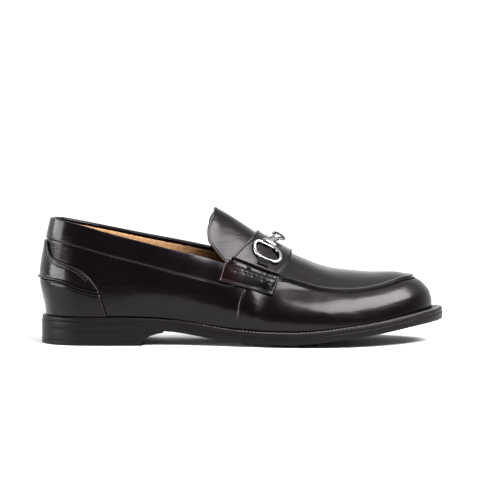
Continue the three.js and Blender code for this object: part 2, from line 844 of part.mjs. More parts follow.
function counterLower() {
  return panel(
    wrapShares.map((share) =>
      [0, 0.25, 0.5, 0.75, 1].map((down) => {
        const turn = share * counterWrap * (1 + counterSlant * down);
        const split = collarTop * counterSplit(Math.abs(share)) - clearance / 2;
        return {
          turn,
          fall: lerp(fallAtHeight(turn, split), wallEnd, down),
          over: counterOver,
          under: counterUnder,
        };
      }),
    ),
  );
}

// Place of the ring and of the middle link on the strap.
const ringShare = 0.568;
const linkShare = 0.617;
const ringAngle = 0.62;
const metalLift = strapOver + clearance + wireRadius;

// A step along the shoe over the share of length at each side of a station.
function alongStep(at, side, fall) {
  const ahead = face(turnAtShare(at + nearShare, side), fall);
  return ahead.sub(face(turnAtShare(at - nearShare, side), fall));
}

// Frame on the strap: a length along the shoe and one upwards across it.
function onStrap(side, along, up) {
  const length = alongStep(ringShare, side, ringAngle).length();
  return {
    turn: turnAtShare(ringShare + (2 * nearShare * along) / length, side),
    fall: ringAngle - up * fallPerLength(turnAtShare(ringShare, side), ringAngle),
  };
}

// Ring: a round wire bent to a rounded loop, with one straight side for the mouthpiece.
function bitRing(side) {
  const sections = steps(0, 2 * Math.PI, 28)
    .slice(0, -1)
    .map((angle) => {
      const squared = (value) => Math.sign(value) * Math.abs(value) ** ringPower;
      const along = (squared(Math.cos(angle)) * (ringLength - 2 * wireRadius)) / 2;
      const up = (squared(Math.sin(angle)) * (ringWidth - 2 * wireRadius)) / 2;
      const { turn, fall } = onStrap(side, along, up);
      return { middle: lifted(turn, fall, metalLift), off: outward(turn, fall) };
    });
  return loft(
    sections.map(({ middle, off }, i) => {
      const before = sections.at(i - 1).middle;
      const after = sections[(i + 1) % sections.length].middle;
      const across = after.clone().sub(before).cross(off).normalize();
      return steps(0, 2 * Math.PI, 8)
        .slice(0, -1)
        .map((angle) =>
          middle
            .clone()
            .addScaledVector(across, wireRadius * Math.cos(angle))
            .addScaledVector(off, wireRadius * Math.sin(angle)),
        );
    }),
    "joined",
  );
}

// Mouthpiece: two arms that widen to a barrel beside each ring, with a link in the middle.
function bitBar() {
  const [outer, inner] = [-1, 1].map((side) => onStrap(side, 0, ringWidth / 2 + clearance));
  const innerRows = mouthRows.slice(1).map((row) => ({ ...row, out: -row.out }));
  return loft(
    [...innerRows.reverse(), ...mouthRows].map((row) => {
      const side = row.out > 0 ? -1 : 1;
      const end = side === -1 ? outer : inner;
      const at = lerp(linkShare, ringShare, Math.abs(row.out));
      const turn = turnAtShare(at, side);
      const fall = Math.abs(row.out) * end.fall;
      const off = outward(turn, fall);
      const along = alongStep(at, side, fall).normalize();
      const middle = lifted(turn, fall, strapOver + clearance + (barThickness * row.thick) / 2);
      return steps(0, 2 * Math.PI, 12)
        .slice(0, -1)
        .map((angle) =>
          middle
            .clone()
            .addScaledVector(along, (Math.cos(angle) * barWidth * row.wide) / 2)
            .addScaledVector(off, (Math.sin(angle) * barThickness * row.thick) / 2),
        );
    }),
  );
}

// Leather tab that folds over the low side of the ring and is stitched to the strap beyond it.
function bitTab(side) {
  const wire = -(ringWidth / 2 - wireRadius);
  const reach = wireRadius + clearance;
  return panel(
    steps(-tabWidth / 2, tabWidth / 2, 5).map((along) =>
      tabRows.map((row) => {
        const under = strapOver + clearance + 2 * reach * row.rise;
        const place = onStrap(side, along - tabShift, wire + row.past * reach);
        return { ...place, under, over: under + tabThickness };
      }),
    ),
  );
}

const blackLeather = { color: 0x1b1416, roughness: 0.22, metalness: 0 };
const soleLeather = { color: 0x18161a, roughness: 0.5, metalness: 0 };
const polishedSteel = { color: 0xc9cacf, roughness: 0.14, metalness: 1 };
const pieces = [
  ["outsole", outsole(), soleLeather],
  ["welt", welt(), soleLeather],
  ["heel", heelBlock(), soleLeather],
  ["heel_lift", heelLift(), { color: 0x141316, roughness: 0.7, metalness: 0 }],
  ["insole", insole(), { color: 0xb08a5c, roughness: 0.6, metalness: 0 }],
  ["upper", upper(), blackLeather],
  ["tongue", tongue(), blackLeather],
  ["saddle_strap", saddleStrap(), blackLeather],
  ["strap_end_lateral", strapEnd(-1), { color: 0x2a1a1c, roughness: 0.3, metalness: 0 }],
  ["strap_end_medial", strapEnd(1), { color: 0x2a1a1c, roughness: 0.3, metalness: 0 }],
  ["counter_upper", counterUpper(), blackLeather],
  ["counter_lower", counterLower(), blackLeather],
  ["bit_ring_lateral", bitRing(-1), polishedSteel],
  ["bit_ring_medial", bitRing(1), polishedSteel],
  ["bit_bar", bitBar(), polishedSteel],
  ["bit_tab_lateral", bitTab(-1), blackLeather],
  ["bit_tab_medial", bitTab(1), blackLeather],
];

const group = new THREE.Group();
pieces.forEach(([name, geometry, look]) => {
  const mesh = new THREE.Mesh(geometry, new THREE.MeshStandardMaterial(look));
  mesh.name = name;
  group.add(mesh);
});

export default group;
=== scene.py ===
import bpy
import math
import numpy as np
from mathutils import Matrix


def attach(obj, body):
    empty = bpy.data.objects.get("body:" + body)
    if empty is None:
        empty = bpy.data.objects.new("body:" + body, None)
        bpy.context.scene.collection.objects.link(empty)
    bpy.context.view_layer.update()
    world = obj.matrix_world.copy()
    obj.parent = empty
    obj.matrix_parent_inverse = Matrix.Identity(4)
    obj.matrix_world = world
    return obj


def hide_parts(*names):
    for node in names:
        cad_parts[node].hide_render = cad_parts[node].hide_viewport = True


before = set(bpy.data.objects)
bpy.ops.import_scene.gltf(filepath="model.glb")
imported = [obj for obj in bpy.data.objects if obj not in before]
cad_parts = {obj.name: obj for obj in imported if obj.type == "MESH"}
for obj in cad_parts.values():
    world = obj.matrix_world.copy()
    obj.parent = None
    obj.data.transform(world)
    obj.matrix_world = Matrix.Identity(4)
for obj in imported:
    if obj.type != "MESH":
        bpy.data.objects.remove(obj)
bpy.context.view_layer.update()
print("frame loaded")

# Right bit loafer, in millimetres: +X to the toe, -Y to the outer side, +Z up.
shoe = {
    "soleLength": 300, "ballWidth": 107, "heelWidth": 69, "heelHeight": 11, "toeSpring": 16.5,
    "soleRound": 1.9, "outsoleThickness": 5.7, "weltThickness": 3, "weltReach": 6.2,
    "insoleThickness": 2.6, "heelLength": 76, "breastReach": 15.5, "breastHollow": 3,
    "liftThickness": 3, "collarTop": 93, "instepHeight": 100, "apronHeight": 47.7,
    "backCurve": 10, "toeCurve": 30, "wallThickness": 2, "panelStep": 0.8, "bandDepth": 15.3,
    "clearance": 0.3, "lipReach": 3, "throatStart": 0.475, "throatEnd": 0.585,
}
halfGap = shoe["clearance"] / 2
originX = (shoe["soleLength"] - shoe["lipReach"]) / 2
wallEnd = math.pi / 2
smallTurn = 1e-3

# Plan of the sole, from the back to the toe.
planRows = {
    "at": [0, 0.01, 0.03, 0.06, 0.1, 0.15, 0.22, 0.3, 0.367, 0.433, 0.5, 0.567, 0.633, 0.683, 0.727,
           0.783, 0.833, 0.883, 0.933, 0.967, 0.99, 1],
    "bend": [0, 0, 0, 0, 0, -0.002, -0.004, -0.008, -0.019, -0.034, -0.044, -0.042, -0.028, -0.013,
             0.001, 0.017, 0.031, 0.046, 0.061, 0.072, 0.079, 0.082],
    "breadth": [0, 0.41, 0.68, 0.865, 0.965, 0.995, 0.98, 0.935, 0.86, 0.785, 0.78, 0.84, 0.93,
                0.976, 0.995, 0.975, 0.91, 0.8, 0.625, 0.455, 0.26, 0],
}
# Side of the sole.
soleRows = {
    "at": [0, 0.2, 0.28, 0.32, 0.37, 0.433, 0.5, 0.553, 0.61, 0.663, 0.733, 0.833, 0.923, 0.97, 1],
    "heel": [1, 1, 0.99, 0.93, 0.72, 0.37, 0.09, 0, 0, 0, 0, 0, 0, 0, 0],
    "toe": [0, 0, 0, 0, 0, 0, 0, 0, 0, 0.055, 0.21, 0.467, 0.77, 0.92, 1],
    "round": [0, 0, 0, 0, 0.05, 0.35, 0.85, 1, 1, 1, 1, 0.85, 0.5, 0.2, 0],
    "body": [1.1, 1.1, 1, 0.95, 0.95, 0.95, 0.95, 0.93, 0.92, 0.9, 0.86, 0.86, 0.9, 0.98, 1.02],
    "reach": [0.74, 0.55, 0.46, 0.4, 0.42, 0.5, 0.7, 0.85, 0.95, 1, 1, 1.05, 1.15, 1.25, 1.32],
}
# Ridge along the top of the upper.
ridgeRows = {
    "at": [0, 0.13, 0.3, 0.4254, 0.4655, 0.496, 0.523, 0.5625, 0.612, 0.65, 0.685, 0.716, 0.745,
           0.787, 0.845, 0.931, 1],
    "rise": [1.42, 1.35, 1.18, 0.998, 0.944, 0.898, 0.856, 0.793, 0.722, 0.671, 0.629, 0.597, 0.569,
             0.541, 0.523, 0.507, 0.508],
    "drift": [0, 0.002, 0.01, 0.02, 0.022, 0.024, 0.026, 0.029, 0.032, 0.035, 0.038, 0.041, 0.044,
              0.049, 0.056, 0.068, 0.078],
}
# Powers of the cross sections, and their swell above the welt.
sectionRows = {
    "at": [0, 0.2, 0.35, 0.48, 0.6, 0.72, 0.85, 0.93, 1],
    "tall": [2, 2, 2, 2, 2, 2.1, 2.1, 2.1, 2.1],
    "wide": [2.1, 2.1, 2.1, 2, 1.85, 1.95, 2.1, 2.7, 4],
    "belly": [0.03, 0.05, 0.16, 0.14, 0.05, 0.02, 0.01, 0.01, 0.01],
}
backRows = {
    "up": [0, 0.052, 0.137, 0.21, 0.26, 0.332, 0.398, 0.474, 0.59, 0.733, 1],
    "in": [0.46, 0.4, 0.18, 0.03, 0.02, 0.12, 0.27, 0.42, 0.74, 1.3, 3],
}
toeRows = {
    "up": [0, 0.073, 0.2, 0.325, 0.488, 0.6, 0.715, 0.793, 0.874, 0.96, 1],
    "out": [1, 1, 0.993, 0.97, 0.92, 0.847, 0.757, 0.67, 0.533, 0.267, 0],
}
collarRows = {
    "at": [0, 0.024, 0.076, 0.175, 0.25, 0.345, 0.405, 0.475],
    "outer": [1, 0.99, 0.957, 0.876, 0.818, 0.744, 0.7, 0.635],
    "inner": [1, 0.99, 0.958, 0.898, 0.852, 0.795, 0.758, 0.715],
}
apronRows = {
    "at": [0.475, 0.617, 0.663, 0.716, 0.785, 0.833, 0.881, 0.924, 0.96, 1],
    "seam": [1.06, 1.025, 0.952, 0.872, 0.838, 0.853, 0.893, 0.94, 0.98, 1],
}


# Cubic through one column of a table, its slope at each row the weighted harmonic mean of its
# neighbours' slopes, so that a flat run stays flat.
def curve(rows, key, column, warp=lambda value: value):
    xs = warp(np.array(rows[key], float))
    ys = np.array(rows[column], float)
    gap = np.diff(xs)
    slope = np.diff(ys) / gap
    before, after = slope[:-1], slope[1:]
    alike = before * after > 0
    safeBefore, safeAfter = np.where(alike, before, 1), np.where(alike, after, 1)
    weighted = (2 * gap[1:] + gap[:-1]) / safeBefore + (gap[1:] + 2 * gap[:-1]) / safeAfter
    inner = np.where(alike, 3 * (gap[1:] + gap[:-1]) / np.where(alike, weighted, 1), 0)
    tangent = np.concatenate([slope[:1], inner, slope[-1:]])

    def read(value):
        x = np.clip(warp(np.asarray(value, float)), xs[0], xs[-1])
        i = np.clip(np.searchsorted(xs, x) - 1, 0, len(slope) - 1)
        t = (x - xs[i]) / gap[i]
        rest = 1 - t
        return (rest**2 * (1 + 2 * t) * ys[i] + t * rest**2 * gap[i] * tangent[i]
                + t**2 * (3 - 2 * t) * ys[i + 1] - t**2 * rest * gap[i] * tangent[i + 1])

    return read


def turnAt(at):
    return np.arccos(np.clip(1 - 2 * at, -1, 1))


def fallOf(up):
    return -np.arccos(np.clip(up, 0, 1))


def atTurn(turn):
    return (1 - np.cos(turn)) / 2


def sideOf(turn):
    return np.where(np.sin(turn) < 0, 1, -1)


def lerp(a, b, t):
    return a + (b - a) * t


def smooth(value, low, high):
    t = np.clip((value - low) / (high - low), 0, 1)
    return t * t * (3 - 2 * t)


def bump(value, middle, reach):
    return np.exp(-(((value - middle) / reach) ** 2))


def unit(vectors):
    return vectors / np.linalg.norm(vectors, axis=-1, keepdims=True)


bendAt = curve(planRows, "at", "bend", turnAt)
breadthAt = curve(planRows, "at", "breadth", turnAt)
heelShare, toeShare, roundShare, bodyShare, reachShare = (
    curve(soleRows, "at", column) for column in ("heel", "toe", "round", "body", "reach"))
riseAt, driftAt = (curve(ridgeRows, "at", column) for column in ("rise", "drift"))
tallAt, wideAt, bellyAt = (curve(sectionRows, "at", column) for column in ("tall", "wide", "belly"))
backIn = curve(backRows, "up", "in")
toeOut = curve(toeRows, "up", "out", fallOf)
outerCollar, innerCollar = (curve(collarRows, "at", column) for column in ("outer", "inner"))
apronSeam = curve(apronRows, "at", "seam")


# Outline of the sole in plan: along by the cosine of the turn, out by half the breadth.
def outline(turn):
    at = atTurn(turn)
    full = lerp(shoe["heelWidth"], shoe["ballWidth"], smooth(at, 0.3, 0.6))
    out = sideOf(turn) * full * breadthAt(at) / 2
    return np.stack([shoe["soleLength"] * at - originX, shoe["ballWidth"] * bendAt(at) + out], -1)


# The outline moved inward along its own normal.
def inset(turn, margin):
    along = unit(outline(turn + smallTurn) - outline(turn - smallTurn))
    inward = np.stack([-along[..., 1], along[..., 0]], -1)
    return outline(turn) + inward * np.asarray(margin, float)[..., None]


def bottomEdge(at):
    return (shoe["heelHeight"] * heelShare(at) + shoe["toeSpring"] * toeShare(at)
            + shoe["soleRound"] * roundShare(at))


def seatHeight(at):
    return bottomEdge(at) + shoe["outsoleThickness"] * bodyShare(at)


def weltTop(at):
    return seatHeight(at) + shoe["clearance"] + shoe["weltThickness"]


def featherHeight(at):
    return weltTop(at) + shoe["clearance"]


def featherMargin(at):
    return shoe["weltReach"] * reachShare(at)


def feather(turn):
    return inset(turn, featherMargin(atTurn(turn)))


featherBack = float(feather(np.array(0.0))[0])
featherToe = float(feather(np.array(math.pi))[0])


# Outer face of the upper: turn walks round the shoe and fall drops from the ridge to the welt.
# Height goes by a power of the cosine of fall, width by a power of its sine, with a swell.
def face(turn, fall):
    turn, fall = np.broadcast_arrays(np.asarray(turn, float), np.asarray(fall, float))
    turn = np.where(fall < 0, -turn, turn)
    fall = np.abs(fall)
    foot = feather(turn)
    at = (foot[..., 0] - featherBack) / (featherToe - featherBack)
    station = atTurn(turn)
    up = np.clip(np.cos(fall), 0, 1) ** (2 / tallAt(at))
    swell = 1 + bellyAt(at) * 6.75 * up * (1 - up) ** 2
    middle = shoe["ballWidth"] * bendAt(station)
    out = (foot[..., 1] - middle) * np.sin(fall) ** (2 / wideAt(at)) * swell
    back = shoe["backCurve"] * (backIn(up) - backRows["in"][0]) + featherBack
    toe = featherToe - shoe["toeCurve"] * (1 - toeOut(up))
    return np.stack([
        lerp(back, toe, at),
        lerp(middle, shoe["ballWidth"] * driftAt(at), np.cos(fall)) + out,
        lerp(featherHeight(station), shoe["instepHeight"] * riseAt(at), up),
    ], -1)


def shareOf(turn):
    return (feather(turn)[..., 0] - featherBack) / (featherToe - featherBack)


# Outward normal: the cross product of the steps down and along the face.
def outward(turn, fall):
    beside = np.maximum(fall, 0.02)
    low = np.minimum(beside + smallTurn, wallEnd)
    across = face(turn, low) - face(turn, beside - smallTurn)
    along = face(turn + smallTurn, beside) - face(turn - smallTurn, beside)
    way = np.cross(across, along)
    return way / np.maximum(np.linalg.norm(way, axis=-1, keepdims=True), 1e-9)


# A point lifted off the face. Both sides share one point on the ridge.
def lifted(turn, fall, lift):
    turn, fall, lift = np.broadcast_arrays(
        np.asarray(turn, float), np.asarray(fall, float), np.asarray(lift, float))
    way = np.where(fall <= 1e-9, np.abs(turn), turn)
    return face(way, fall) + outward(way, fall) * lift[..., None]


def fallPerLength(turn, fall):
    step = face(turn, fall + smallTurn) - face(turn, fall - smallTurn)
    return 2 * smallTurn / np.linalg.norm(step, axis=-1)


def fallAtHeight(turn, height):
    at = shareOf(turn)
    foot = featherHeight(atTurn(turn))
    up = (height - foot) / (shoe["instepHeight"] * riseAt(at) - foot)
    return np.arccos(np.clip(up, 0, 1) ** (tallAt(at) / 2))


def collarHeight(turn):
    at = shareOf(turn)
    return shoe["collarTop"] * np.where(sideOf(turn) < 0, outerCollar(at), innerCollar(at))


def collarFall(turn):
    return fallAtHeight(turn, collarHeight(turn))


turnSteps = np.linspace(0, math.pi, 3001)
shareSteps = {side: shareOf(-side * turnSteps) for side in (-1, 1)}


# The turn at a share of the upper's length, read back from fine steps on each side.
def turnAtShare(share, side):
    share, side = np.broadcast_arrays(np.asarray(share, float), np.asarray(side))
    outer = np.interp(share, shareSteps[-1], turnSteps)
    inner = np.interp(share, shareSteps[1], turnSteps)
    return np.where(side < 0, outer, -inner)


throatFall = {side: float(collarFall(turnAtShare(shoe["throatStart"], side))) for side in (-1, 1)}


def throatFallOf(turn):
    return np.where(sideOf(turn) < 0, throatFall[-1], throatFall[1])


# Top edge of the upper: the collar, then the throat up to the ridge, then the ridge itself.
def topFall(turn):
    at = shareOf(turn)
    climb = (shoe["throatEnd"] - at) / (shoe["throatEnd"] - shoe["throatStart"])
    return np.where(at <= shoe["throatStart"], collarFall(turn), throatFallOf(turn) * np.clip(climb, 0, 1))


# Seam of the collar band at the back and of the apron in front.
def seamFall(turn):
    at = shareOf(turn)
    band = collarHeight(turn) - shoe["bandDepth"]
    return fallAtHeight(turn, lerp(band, shoe["apronHeight"] * apronSeam(at), smooth(at, 0.46, 0.6)))


# Closed strips between sections: each point joins the next one round and the next one along.
def loftFaces(count, round_, ends="capped"):
    i = np.arange(count if ends == "joined" else count - 1)[:, None]
    k = np.arange(round_)[None, :]
    here, there, side = i * round_, ((i + 1) % count) * round_, (k + 1) % round_
    faces = np.stack([here + k, there + k, there + side, here + side], -1).reshape(-1, 4)
    if ends != "capped":
        return faces
    k = np.arange(round_ // 2 - 1)
    far = round_ - 1 - k
    first = np.stack([k, k + 1, far - 1, far], -1)
    last = (count - 1) * round_ + np.stack([far, far - 1, k + 1, k], -1)
    return np.concatenate([faces, first, last])


def trianglesOf(faces):
    a, b, c, d = faces.T
    return np.concatenate([
        np.stack([a, b, c], -1)[(a != b) & (b != c) & (c != a)],
        np.stack([a, c, d], -1)[(a != c) & (c != d) & (d != a)],
    ])


# Welds points that lie together, drops faces that vanish, and turns a shell's faces outwards.
def weld(points, faces, grain=1e-4):
    keys = np.round(points / grain).astype(np.int64)
    _, first, back = np.unique(keys, axis=0, return_index=True, return_inverse=True)
    faces = back.reshape(-1)[faces]
    points = points[first]
    corner = points[trianglesOf(faces)]
    volume = np.einsum("ij,ij->i", corner[:, 0], np.cross(corner[:, 1], corner[:, 2])).sum()
    a, b, c, d = faces.T
    quads = (a != b) & (b != c) & (c != d) & (d != a) & (a != c) & (b != d)
    whole, small = faces[quads], trianglesOf(faces[~quads])
    if volume < 0:
        whole, small = whole[:, ::-1], small[:, ::-1]
    return points, whole, small


# Makes one mesh piece, in metres, with its material, hangs it under the root body and hides the nodes that it
# stands in for.
def putPiece(name, points, faces, material, replaces=(), apart=False):
    if apart:
        whole, small = faces, np.zeros((0, 3), int)
    else:
        points, whole, small = weld(points, faces)
    mesh = bpy.data.meshes.new(name)
    mesh.from_pydata((points / 1000).tolist(), [], whole.tolist() + small.tolist())
    mesh.polygons.foreach_set("use_smooth", np.ones(len(mesh.polygons), bool))
    mesh.materials.append(material)
    mesh.update()
    piece = bpy.data.objects.new(name, mesh)
    bpy.context.scene.collection.objects.link(piece)
    if replaces:
        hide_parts(*replaces)
    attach(piece, "root")
    print("made", name, len(mesh.polygons), "faces")
    return piece


# Even steps that crowd towards both ends.
def crowded(count, crowd=0.12):
    t = np.linspace(0, 1, count)
    return t - crowd * np.sin(2 * math.pi * t)


# Length along a grid from its first and last line, on one axis.
def edgeLengths(points, axis):
    step = np.linalg.norm(np.diff(points, axis=axis), axis=-1)
    start = np.cumsum(step, axis=axis)
    pad = [(0, 0), (0, 0)]
    pad[axis] = (1, 0)
    start = np.pad(start, pad)
    return start, np.take(start, [-1], axis=axis) - start


# Length from each point of a row to the row's last point.
def lengthToEnd(points):
    step = np.linalg.norm(np.diff(points, axis=1), axis=-1)
    return np.pad(np.cumsum(step[:, ::-1], 1)[:, ::-1], [(0, 0), (0, 1)])


def lengthAlong(path):
    return np.concatenate([[0], np.cumsum(np.linalg.norm(np.diff(path, axis=0), axis=-1))])


# A leather panel over a grid of turn and fall: its top rounds down to each pared edge by a
# quarter circle, and its relief is added to that, both along the normal. The relief reads the
# lengths from the first and last line of the grid, then from its first and last column.
paredEdge = 0.35


def putPanel(name, node, turn, fall, under, look, relief, material=None):
    base = face(turn, fall)
    ends = [*edgeLengths(base, 0), *edgeLengths(base, 1)]
    near = np.minimum.reduce(ends)
    edge = np.sqrt(1 - (1 - np.clip(near / look["radius"], 0, 1)) ** 2)
    over = under + look["thickness"] * lerp(paredEdge, 1, edge)
    top = lifted(turn, fall, over + relief(ends) * smooth(near, 0, look["radius"]))
    bottom = lifted(turn, fall, under)
    count, width = turn.shape
    points = np.concatenate([top, bottom[:, ::-1]], 1).reshape(-1, 3)
    if material is None:
        material = upperLeather
    putPiece(name, points, loftFaces(count, 2 * width), material, [node])
    return top


# A node of a shader, with its own values by name or number.
def addNode(tree, kind, label, **values):
    node = tree.nodes.new(kind)
    node.label = label
    for key, value in values.items():
        socket = key.replace("_", " ")
        if socket in node.inputs:
            node.inputs[socket].default_value = value
        else:
            setattr(node, key, value)
    return node


def noiseNode(tree, place, label, scale, detail=2.0, rough=0.5):
    node = addNode(tree, "ShaderNodeTexNoise", label, Scale=scale, Detail=detail, Roughness=rough)
    tree.links.new(place, node.inputs["Vector"])
    return node


def ramp(tree, value, label, stops):
    node = addNode(tree, "ShaderNodeValToRGB", label)
    elements = node.color_ramp.elements
    while len(elements) < len(stops):
        elements.new(0.5)
    for element, (where, colour) in zip(elements, stops):
        element.position = where
        element.color = (*colour, 1)
    tree.links.new(value, node.inputs["Fac"])
    return node


def newMaterial(name, **values):
    material = bpy.data.materials.new(name)
    material.use_nodes = True
    tree = material.node_tree
    shader = tree.nodes["Principled BSDF"]
    for key, value in values.items():
        shader.inputs[key.replace("_", " ")].default_value = value
    place = addNode(tree, "ShaderNodeTexCoord", "place on the shoe").outputs["Object"]
    return material, tree, shader, place


def addBump(tree, shader, height, strength, distance):
    node = addNode(tree, "ShaderNodeBump", "grain height", Strength=strength, Distance=distance)
    tree.links.new(height, node.inputs["Height"])
    tree.links.new(node.outputs["Normal"], shader.inputs["Normal"])
    return node


def spread(tree, value, label, low, high):
    node = addNode(tree, "ShaderNodeMapRange", label, To_Min=low, To_Max=high)
    tree.links.new(value, node.inputs["Value"])
    return node.outputs["Result"]


# Brushed leather: near black with burgundy clouds, a fine grain in its bump, an uneven polish
# in its roughness, and a coat of wax.
def brushedLeather(name, dark, tint, polish, waves=0.35, grain=0.1, coat=0.12, redBehind=None):
    material, tree, shader, place = newMaterial(
        name, Coat_Weight=coat, Coat_Roughness=0.12, Specular_IOR_Level=0.1,
        Specular_Tint=(1, 0.92, 0.98, 1))
    clouds = noiseNode(tree, place, "brushed clouds", 38, 3)
    colour = ramp(tree, clouds.outputs["Fac"], "polish colours", [(0.38, dark), (0.72, tint)])
    if redBehind:
        split = addNode(tree, "ShaderNodeSeparateXYZ", "along the shoe")
        tree.links.new(place, split.inputs["Vector"])
        along = addNode(tree, "ShaderNodeMapRange", "red behind", From_Min=redBehind[0],
                        From_Max=redBehind[1], To_Min=1.0, To_Max=0.0)
        tree.links.new(split.outputs["X"], along.inputs["Value"])
        mix = addNode(tree, "ShaderNodeMix", "worn red", data_type="RGBA")
        mix.inputs["B"].default_value = (*redBehind[2], 1)
        tree.links.new(along.outputs["Result"], mix.inputs["Factor"])
        tree.links.new(colour.outputs["Color"], mix.inputs["A"])
        tree.links.new(mix.outputs["Result"], shader.inputs["Base Color"])
    else:
        tree.links.new(colour.outputs["Color"], shader.inputs["Base Color"])
    uneven = noiseNode(tree, place, "uneven polish", 90, 3)
    tree.links.new(spread(tree, uneven.outputs["Fac"], "polish", polish - 0.04, polish + 0.05),
                   shader.inputs["Roughness"])
    pores = noiseNode(tree, place, "pores", 1500, 3, 0.6)
    fine = addBump(tree, shader, pores.outputs["Fac"], grain, 0.0002)
    stretch = addNode(tree, "ShaderNodeMapping", "along the brush strokes")
    stretch.inputs["Scale"].default_value = (22, 60, 80)
    tree.links.new(place, stretch.inputs["Vector"])
    strokes = noiseNode(tree, stretch.outputs["Vector"], "brush strokes", 1.6, 3, 0.55)
    broad = addNode(tree, "ShaderNodeBump", "brushed waves", Strength=waves, Distance=0.0011)
    tree.links.new(strokes.outputs["Fac"], broad.inputs["Height"])
    tree.links.new(broad.outputs["Normal"], fine.inputs["Normal"])
    return material


upperLeather = brushedLeather(
    "brushed_black_leather", (0.0004, 0.0001, 0.0003), (0.001, 0.0003, 0.0007), 0.25)
strapLeather = brushedLeather(
    "brushed_burgundy_leather", (0.0008, 0.0008, 0.0008), (0.0018, 0.0017, 0.0017), 0.22, waves=0.12,
    redBehind=(-0.006, 0.004, (0.0032, 0.0006, 0.0008)))


# Tan lining with a speckled nap. Its colour is painted down to dark brown towards the throat, and over the
# front of the insole sock that shares it: this is painted shade inside the shoe, not a darker leather.
def liningLeather():
    material, tree, shader, place = newMaterial("tan_lining", Specular_IOR_Level=0.1)
    split = addNode(tree, "ShaderNodeSeparateXYZ", "along the shoe")
    tree.links.new(place, split.inputs["Vector"])
    # Painted shade: the colour darkens by position along the shoe, towards the throat.
    along = addNode(tree, "ShaderNodeMapRange", "painted shade towards the throat", From_Min=-0.05, From_Max=-0.015)
    tree.links.new(split.outputs["X"], along.inputs["Value"])
    paintedShade = ramp(tree, along.outputs["Result"], "tan to painted shade",
                [(0.0, (0.43, 0.25, 0.12)), (1.0, (0.12, 0.066, 0.03))])
    speckle = noiseNode(tree, place, "nap", 420, 4, 0.75)
    mix = addNode(tree, "ShaderNodeMix", "nap colour", data_type="RGBA", blend_type="MULTIPLY", Factor=0.8)
    grey = ramp(tree, speckle.outputs["Fac"], "nap tones", [(0.38, (0.5, 0.46, 0.42)), (0.62, (1, 1, 1))])
    tree.links.new(paintedShade.outputs["Color"], mix.inputs["A"])
    tree.links.new(grey.outputs["Color"], mix.inputs["B"])
    tree.links.new(mix.outputs["Result"], shader.inputs["Base Color"])
    shader.inputs["Roughness"].default_value = 0.62
    addBump(tree, shader, speckle.outputs["Fac"], 0.35, 0.0003)
    return material


def soleEdgeLeather(name, dark, light, roughness, strata=True):
    material, tree, shader, place = newMaterial(name, Specular_IOR_Level=0.06)
    stretch = addNode(tree, "ShaderNodeMapping", "layers along the edge")
    stretch.inputs["Scale"].default_value = (12, 12, 160) if strata else (60, 60, 60)
    tree.links.new(place, stretch.inputs["Vector"])
    layers = noiseNode(tree, stretch.outputs["Vector"], "pressed layers", 6, 4, 0.6)
    colour = ramp(tree, layers.outputs["Fac"], "edge dressing", [(0.3, dark), (0.75, light)])
    tree.links.new(colour.outputs["Color"], shader.inputs["Base Color"])
    tree.links.new(spread(tree, layers.outputs["Fac"], "satin", roughness - 0.06, roughness + 0.08),
                   shader.inputs["Roughness"])
    addBump(tree, shader, layers.outputs["Fac"], 0.18, 0.0004)
    return material


def polishedMetal():
    material, tree, shader, place = newMaterial("polished_silver", Metallic=1.0)
    shader.inputs["Base Color"].default_value = (0.27, 0.27, 0.28, 1)
    wear = noiseNode(tree, place, "fine wear", 900, 3)
    tree.links.new(spread(tree, wear.outputs["Fac"], "shine", 0.06, 0.16), shader.inputs["Roughness"])
    return material


def threadMaterial(name, dark, light, roughness=0.4, shine=0.2):
    material, tree, shader, place = newMaterial(name, Roughness=roughness, Specular_IOR_Level=shine)
    twist = noiseNode(tree, place, "twist", 2600, 2)
    colour = ramp(tree, twist.outputs["Fac"], "thread tones", [(0.3, dark), (0.7, light)])
    tree.links.new(colour.outputs["Color"], shader.inputs["Base Color"])
    addBump(tree, shader, twist.outputs["Fac"], 0.3, 0.0002)
    return material


tanLining = liningLeather()
soleLeather = soleEdgeLeather("dressed_sole_edge", (0.0036, 0.003, 0.0035), (0.006, 0.005, 0.0058), 0.34)
heelRubber = soleEdgeLeather("heel_rubber", (0.004, 0.0033, 0.0038), (0.0065, 0.0055, 0.0062), 0.4, False)
silver = polishedMetal()
darkThread = threadMaterial("dark_thread", (0.008, 0.007, 0.0075), (0.035, 0.03, 0.032))
paleThread = threadMaterial("waxed_thread", (0.04, 0.034, 0.036), (0.13, 0.11, 0.112))
# Black, dull thread for the tongue and strap stitches and the apron seam. On the apron it also stands in for
# the groove's shade (painted shade).
blackThread = threadMaterial("black_thread", (0.0012, 0.001, 0.0011), (0.005, 0.0044, 0.0046), 0.8, 0.02)
weltThread = threadMaterial("ash_thread", (0.09, 0.08, 0.082), (0.26, 0.24, 0.244))
print("materials ready")

# Upper: one skin from the welt up over both seams to the rolled edge of the collar.
upperLook = {
    "turns": 230, "seamTurns": (0.478, 0.524, 42), "lowRows": 40, "seamRows": 30, "highRows": 30,
    "seamBelow": 3.4, "seamAbove": 4.6, "leather": 1.1, "edgeRadius": 0.85,
    "innerRows": 44, "binding": 3.1, "bindingEdge": 0.6, "bindingDepth": 1.7, "bindingRadius": 0.7,
    "groove": 0.92, "lip": 1.0, "plugStep": 0.8, "stitchSink": 0.16, "upright": 1.0,
}


# The same turn on both sides of the ridge, so that the two skins share their points there.
def pairedTurns():
    base = np.linspace(0, math.pi, upperLook["turns"])
    low, high, count = upperLook["seamTurns"]
    extra = turnAtShare(np.linspace(low, high, count), -1)
    keep = base[(base < extra[0]) | (base > extra[-1])]
    outerSide = np.sort(np.concatenate([keep, extra]))
    return np.concatenate([outerSide, -outerSide[1:-1][::-1]])


# The side seam leans forward as it rises, between the welt and the strap's end.
def sideSeamShare(height):
    return lerp(0.4905, 0.5095, np.clip((height - 20) / 22, 0, 1))
